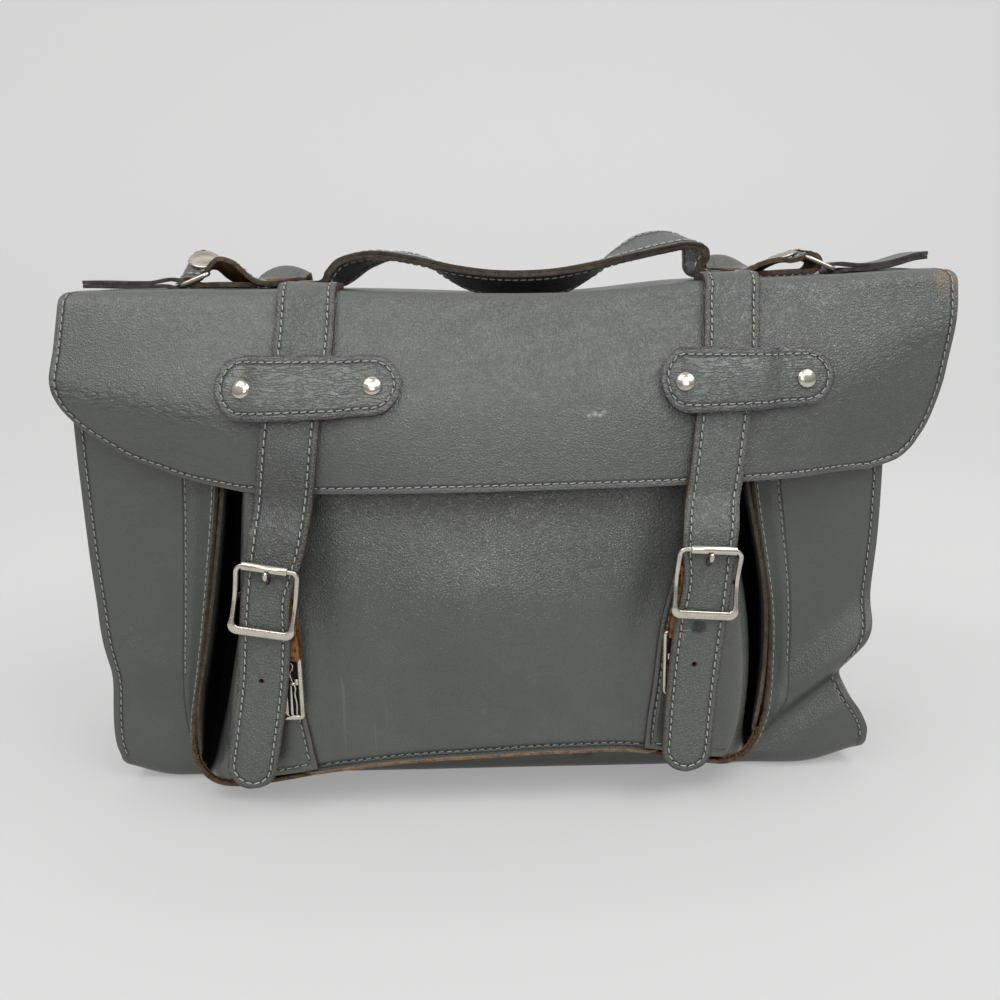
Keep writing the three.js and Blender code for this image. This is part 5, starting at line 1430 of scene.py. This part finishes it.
def makeHandle():
    runs, places = steps(0, 17, 150), steps(0, 1, 13)
    width = handle["farY"] - handle["nearY"]
    half = handle["thick"] / 2
    rim = [[width * min(t, 1 - t) for _ in runs] for t in places]
    upper = [[handleSpot(r, t) - handleNormal(r, t) * 0.25 * abs(2 * t - 1) ** 3 for r in runs] for t in places]
    lower = [[handleSpot(r, t) - handleNormal(r, t) * (half + 0.08) for r in runs] for t in places]
    looks = [handleLook, darkLook, handleLook]
    top = makeSheet("upper", upper, half - 0.08, looks, rim, 0.4, rawRim=True)
    under = makeSheet("lower", lower, half - 0.08, [handleLook, darkLook, underDarkShadedLook], rim, 0.4, rawRim=True)
    piece = joinPieces([top, under], "handle_leather")
    settle(piece, "strap_leather", "handle")
    inside = handle["stitchIn"] / width
    paths = []
    for t in (inside, 1 - inside):
        paths.append([(handleSpot(r, t), handleNormal(r, t)) for r in steps(1.2, 16, 160)])
        paths.append([(handleUnder(r, t), -handleNormal(r, t)) for r in steps(1.2, 15, 160)])
    sew("handle_stitches", paths, "strap_leather", seed=7)


makeHandle()
handleRim = [(handleUnder(r, 0.02), Vector((0.2, -0.6, -1))) for r in steps(1.6, 15, 120)]
handleTuft = [(handleUnder(r, 0.5), Vector((0.5, -0.3, -1))) for r in steps(2.9, 3.9, 20)]
fray("handle_fibres", [handleRim], 150, 1.1, darkLook, "strap_leather", 26)
fray("handle_tuft", [handleTuft], 26, 5.0, darkShadedThread, "strap_leather", 27)
print("handle ready")

band = {
    "thick": 2.4, "width": 24, "turnRadius": 22, "hangY": 63, "hangLowZ": 16, "wire": 1.15, "stitchIn": 3.4,
    "ringCorner": 2.6, "tabThick": 1.85, "tabHalf": 11, "studRadius": 7.7,
    "stud": [0.8, (0.3, 0.3), (1.0, 0.35), (0.5, -0.12), (0.5, 0.14), (1.8, 0.35), (2.2, 0.2)],
    "left": {"sign": -1, "foldX": -151, "turnX": -128, "legX": -106, "studAt": 6.0, "studBack": 2.6,
             "tabX": -199, "curl": 0.8, "fold": 5.9, "hold": (-140, 259), "far": (-154, 253.6),
             "shear": 0.42, "humpRoll": 0,
             "loop": [(46, 3.2, -2), (41, 3.8, -3), (37, 4.9, -8), (33, 7.2, -16), (28.5, 8.6, -27), (20, 11.2, -20),
                      (10.6, 12.2, 33)]},
    "right": {"sign": 1, "foldX": 174, "turnX": 158, "legX": 136, "studAt": 3.7, "studBack": -1.5,
              "tabX": 227, "curl": 4.4, "fold": 5.6, "hold": (167, 260.6), "far": (181, 254.2),
              "shear": -0.12, "humpRoll": -16,
              "loop": [(46, 2.8, 0), (39, 3.8, -3), (30, 5.8, -11), (21.5, 8.2, -6), (16, 9.6, 5), (10, 11.2, 7),
                       (6, 12.2, 3)]},
}  # loop: from the fold, over the top, roll


def bandEnd(end):  # stations of x, y, z, swing round the upright and roll toward the front
    inward, foldX, turnX, legX = -end["sign"], end["foldX"], end["turnX"], end["legX"]
    fold, seat, radius = end["fold"], body["seat"], band["turnRadius"]
    stations = []
    for away, over, roll in end["loop"]:
        x = foldX + inward * away
        stations.append((x, 0, topZ(x, 0) + over, 0, roll))
    foldZ = topZ(foldX, 0) + seat + fold
    for degrees in (90, 112, 135, 157, 180, 202, 225, 247, 270):
        a = math.radians(degrees)
        roll = end["loop"][-1][2] * (1 - smooth(90, 270, degrees))
        stations.append((foldX + inward * (fold + fold * math.cos(a)), 0, foldZ + fold * math.sin(a), 0, roll))
    for x in steps(foldX + inward * 2.2 * fold, turnX, 4):
        stations.append((x, 0, topZ(x, 0) + seat + 0.2, 0, 0))
    for swing in (11, 22.5, 34, 45, 56, 67.5, 79, 90):
        a = math.radians(swing)
        x = turnX + inward * radius * math.sin(a)
        lift = 2.6 * smooth(30, 90, swing)
        stations.append((x, radius * (1 - math.cos(a)), topZ(x, 0) + seat + 0.2 + lift, swing, 0))
    crest = topZ(legX, 30)
    for y, over in ((27, 4.6), (33, 8.0), (39, 9.2), (45, 6.8), (49.5, 1.2), (52, -7), (52, -16)):
        stations.append((legX, y, crest + over, 90, end["humpRoll"] * bell(y, 38, 9)))
    return stations


def bandStations():
    a, b = band["left"], band["right"]
    half, middle = (b["legX"] - a["legX"]) / 2, (a["legX"] + b["legX"]) / 2
    turnAt = band["hangLowZ"] + half
    startZ = topZ(a["legX"], 30) - 16
    leg = [(t, mix(52, band["hangY"], smooth(0, 1, t)), mix(startZ, turnAt, t)) for t in (0.2, 0.4, 0.6, 0.8, 0.95)]
    stations = [(x, y, z, -90 + swing, roll) for x, y, z, swing, roll in bandEnd(a)]
    stations += [(a["legX"], y, z, 90 * smooth(0, 1, t), 0) for t, y, z in leg]
    for degrees in steps(180, 360, 19):
        angle = math.radians(degrees)
        stations.append((middle + half * math.cos(angle), band["hangY"], turnAt + half * math.sin(angle), 90, 0))
    stations += [(b["legX"], y, z, 180 - 90 * smooth(0, 1, t), 0) for t, y, z in leg[::-1]]
    stations += [(x, y, z, 270 - swing, roll) for x, y, z, swing, roll in bandEnd(b)[::-1]]
    return [(k, *s) for k, s in enumerate(stations)]


def bandSide(spin, roll):
    a, r = math.radians(spin), math.radians(roll)
    return Vector((math.cos(a) * math.cos(r), math.sin(a) * math.cos(r), -math.sin(r)))


def makeBand():
    table = bandStations()
    last = len(table) - 1
    at = steps(0, last, last * 4 + 1)
    centre = [Vector([curve(table, k, c) for c in (1, 2, 3)]) for k in at]
    side = [bandSide(curve(table, k, 4), curve(table, k, 5)) for k in at]
    places = steps(-0.5, 0.5, 9)
    arch = lambda c, k: Vector((0, 0, 4.2 * (2 * k) ** 2 * bell(c.y, 37, 11) if c.z > 240 else 0))  # behind the top
    rows = [[c + s * (k * band["width"]) - arch(c, k) for c, s in zip(centre, side)] for k in places]
    rim = [[band["width"] * (0.5 - abs(k)) for _ in at] for k in places]
    looks = [handleLook, edgeLook, brownLook]
    piece = makeSheet("shoulder_strap_leather", rows, band["thick"], looks, rim, 0.45, rawRim=True)
    for face in piece.data.polygons:  # lined beyond its folded ends
        if face.material_index == 2 and face.center.y > 0.013:
            face.material_index = 0
    settle(piece, "strap_leather", "shoulder_strap")
    paths = []
    for k in (-0.5 + band["stitchIn"] / band["width"], 0.5 - band["stitchIn"] / band["width"]):
        path = []
        for i in range(1, len(at) - 1):
            p = centre[i] + side[i] * (k * band["width"]) - arch(centre[i], k)
            path.append((p, (centre[i + 1] - centre[i - 1]).cross(side[i]).normalized()))
        paths.append(path)
    sew("shoulder_strap_stitches", paths, "strap_leather", seed=8)


def makeEnd(name):
    end = band[name]
    sign = end["sign"]
    hold, far = [Vector((end[key][0], 0, end[key][1])) for key in ("hold", "far")]
    half, corner = band["width"] / 2 + 1.8, band["ringCorner"]
    length, toFar = (far - hold).length, (far - hold).normalized()
    flat = []
    inV, farU = half - corner, length - corner
    for u, v, start, s in ((corner, -inV, 1, 0), (farU, -inV, 1.5, 1), (farU, inV, 0, 0), (corner, inV, 0.5, -1)):
        flat += quarter(u, v, corner, start * math.pi, 8)
        if s:  # along a long side
            flat += [((length if s > 0 else 0), w) for w in steps(-s * inV, s * inV, 10)[1:-1]]
    line = [hold + toFar * u + Vector((-end["shear"] * v, v, 0)) for u, v in flat]
    across = toFar.cross(Vector((0, 1, 0))).normalized()
    piece = makeRing(f"ring_{name}_wire", line, [(band["wire"], band["wire"], 1.0)] * len(line), nickelTrim, across)
    settle(piece, "nickel", "ring_" + name)

    tabThick, tabX, tabHalf = band["tabThick"], end["tabX"], band["tabHalf"]
    reach = band["wire"] + body["seat"] + tabThick
    along = lambda x: (x - far.x) / (tabX - far.x)
    lowZ = lambda x: topZ(x, 0) + body["seat"] + end["curl"] * smooth(0.45, 1, along(x))
    spots = [(x, lowZ(x)) for x in steps(tabX, far.x + sign * 6, 7)]
    for degrees in (-90, -67, -45, -22, 0, 22, 45, 67, 90):
        a = math.radians(degrees)
        spots.append((far.x - sign * reach * math.cos(a), far.z + reach * math.sin(a)))
    over = 2 * tabThick + 0.1
    spots.append((far.x + sign * 5, lowZ(far.x) + over + 1.4))
    for t in (0.3, 0.45, 0.6, 0.75, 0.85, 0.92, 1.0):
        x = mix(far.x, tabX, t)
        spots.append((x, lowZ(x) + over))
    table = [(k, *s) for k, s in enumerate(spots)]
    at = steps(0, len(table) - 1, 110)
    points = [(curve(table, k, 1), curve(table, k, 2)) for k in at]
    ys = steps(-sign * tabHalf, sign * tabHalf, 9)
    skew = lambda x, y: -end["shear"] * y * (1 - smooth(0.1, 0.8, along(x)))
    rows = [[(x + skew(x, y), y, z) for x, z in points] for y in ys]
    rim = [[tabHalf - abs(y) for _ in points] for y in ys]
    piece = makeSheet(f"tab_{name}_leather", rows, tabThick, [handleLook, greyEdgeLook, greyEdgeLook], rim, 0.35)
    settle(piece, "strap_leather", "tab_" + name)

    table = [(k, *station) for k, station in enumerate(bandEnd(end))]
    place = lambda k: Vector([curve(table, k, c) for c in (1, 2, 3)])
    k = end["studAt"]
    ahead = (place(k + 0.2) - place(k - 0.2)) * -sign
    up = ahead.cross(bandSide(270, curve(table, k, 5))).normalized()
    foot = place(k) + up * 0.25 - bandSide(270, curve(table, k, 5)) * end["studBack"]
    cap = makeCap(f"stud_{name}_cap", foot, up, studTrim, band["studRadius"], band["stud"])
    settle(cap, "nickel", "stud_" + name)


makeBand()
makeEnd("left")
makeEnd("right")
print("shoulder strap and top fittings ready")

stageSet = {"backY": 1.9, "side": 4.0, "wall": 3.2, "sweep": 0.9}  # metres
lamps = {  # place, aim, size, watts
    "softBoxLeft": ((-0.72, -0.66, 1.5), (0, -0.06, 0.1), (1.0, 0.9), 7.6),
    "softBoxRight": ((0.85, -0.66, 1.5), (0.05, -0.06, 0.1), (1.2, 0.9), 11.1),
    "softBoxFront": ((0.4, -1.45, 1.42), (0.05, -0.06, 0.18), (2.2, 0.7), 7.1),
    "softBoxLow": ((-0.12, -1.9, 0.82), (0, -0.08, 0.15), (0.6, 0.3), 4),
    "softBoxBack": ((0, 0.7, 2.1), (0, 1.8, 0.7), (4.2, 0.9), 9),
}


def makeStage():
    n = Nodes("paleBackdrop")
    paper = n.blend(n.ramp(n.axis("Y"), -0.6, 1.4), sRgb(160, 160, 159), sRgb(168, 168, 167))
    n.join(n.blend(n.calc("MULTIPLY", n.noise(3, 2), 0.04), paper, sRgb(140, 140, 139)), "Base Color")
    n.join(n.ramp(n.axis("Z"), 0.0, 0.6, 0.285, 0.33), "Emission Strength")  # the paper glows: painted light that lifts the shadows on the floor and backdrop, a little more higher up
    n.set(Roughness=0.8)
    selectNone()
    middle = (0, stageSet["backY"] - stageSet["side"], 0)
    bpy.ops.mesh.primitive_plane_add(size=2 * stageSet["side"], location=middle)
    floor = bpy.context.object
    floor.name = "backdrop"
    bpy.ops.object.transform_apply(location=True)
    bpy.ops.object.mode_set(mode="EDIT")
    bpy.ops.mesh.select_all(action="DESELECT")
    bpy.ops.object.mode_set(mode="OBJECT")
    for edge in floor.data.edges:
        edge.select = all(floor.data.vertices[v].co.y > stageSet["backY"] - 0.01 for v in edge.vertices)
    bpy.ops.object.mode_set(mode="EDIT")
    bpy.ops.mesh.select_mode(type="EDGE")
    bpy.ops.mesh.extrude_region_move(TRANSFORM_OT_translate={"value": (0, 0, stageSet["wall"])})
    bpy.ops.object.mode_set(mode="OBJECT")
    bevel = floor.modifiers.new("sweep", "BEVEL")
    bevel.width, bevel.segments = stageSet["sweep"], 16
    applyModifiers(floor)
    floor.data.materials.append(n.look)
    smoothByAngle(floor, 60)


def addLamp(name, at, aim, size, power):
    bpy.ops.object.light_add(type="AREA", location=at)
    lamp = bpy.context.object
    lamp.name = name
    lamp.data.shape = "RECTANGLE"
    lamp.data.size, lamp.data.size_y = size
    lamp.data.energy = power
    way = Vector(aim) - Vector(at)
    lamp.rotation_euler = way.to_track_quat("-Z", "Y").to_euler()


makeStage()
selectNone()
for name, values in lamps.items():
    addLamp(name, *values)
world = bpy.data.worlds.new("studio")
bpy.context.scene.world = world
world.use_nodes = True
sky = world.node_tree
toward = sky.nodes.new("ShaderNodeSeparateXYZ")
sky.links.new(sky.nodes.new("ShaderNodeTexCoord").outputs["Generated"], toward.inputs[0])
lift = sky.nodes.new("ShaderNodeMapRange")  # bright overhead, dim low down in front
lift.interpolation_type = "SMOOTHSTEP"
sky.links.new(toward.outputs["Z"], lift.inputs["Value"])
for key, value in {"From Min": 0.0, "From Max": 0.75, "To Min": 0.34, "To Max": 0.72}.items():
    lift.inputs[key].default_value = value
sky.links.new(lift.outputs["Result"], sky.nodes["Background"].inputs["Strength"])
sky.nodes["Background"].inputs["Color"].default_value = (0.95, 0.95, 0.96, 1)
paleRoom = sky.nodes.new("ShaderNodeBackground")  # the room beyond the paper, plain and pale
paleRoom.inputs["Color"].default_value = (0.69, 0.69, 0.69, 1)
either = sky.nodes.new("ShaderNodeMixShader")
sky.links.new(sky.nodes.new("ShaderNodeLightPath").outputs["Is Camera Ray"], either.inputs["Fac"])
sky.links.new(sky.nodes["Background"].outputs[0], either.inputs[1])
sky.links.new(paleRoom.outputs[0], either.inputs[2])
sky.links.new(either.outputs[0], sky.nodes["World Output"].inputs["Surface"])

view = {"at": (9, -528, 258), "pitch": 13, "roll": 1.3, "lens": 36}
bpy.ops.object.camera_add(location=Vector(view["at"]) * mm)
camera = bpy.context.object
camera.name = "photoCamera"
tiltUp = Matrix.Rotation(math.radians(90 - view["pitch"]), 3, "X")
camera.rotation_euler = (tiltUp @ Matrix.Rotation(-math.radians(view["roll"]), 3, "Z")).to_euler()
camera.data.lens = view["lens"]
camera.data.sensor_width = 36
camera.data.sensor_fit = "HORIZONTAL"
camera.data.clip_start = 0.01
bpy.context.scene.camera = camera
bpy.context.scene.view_settings.view_transform = "Standard"
print("stage, light and camera ready")

bpy.context.view_layer.update()
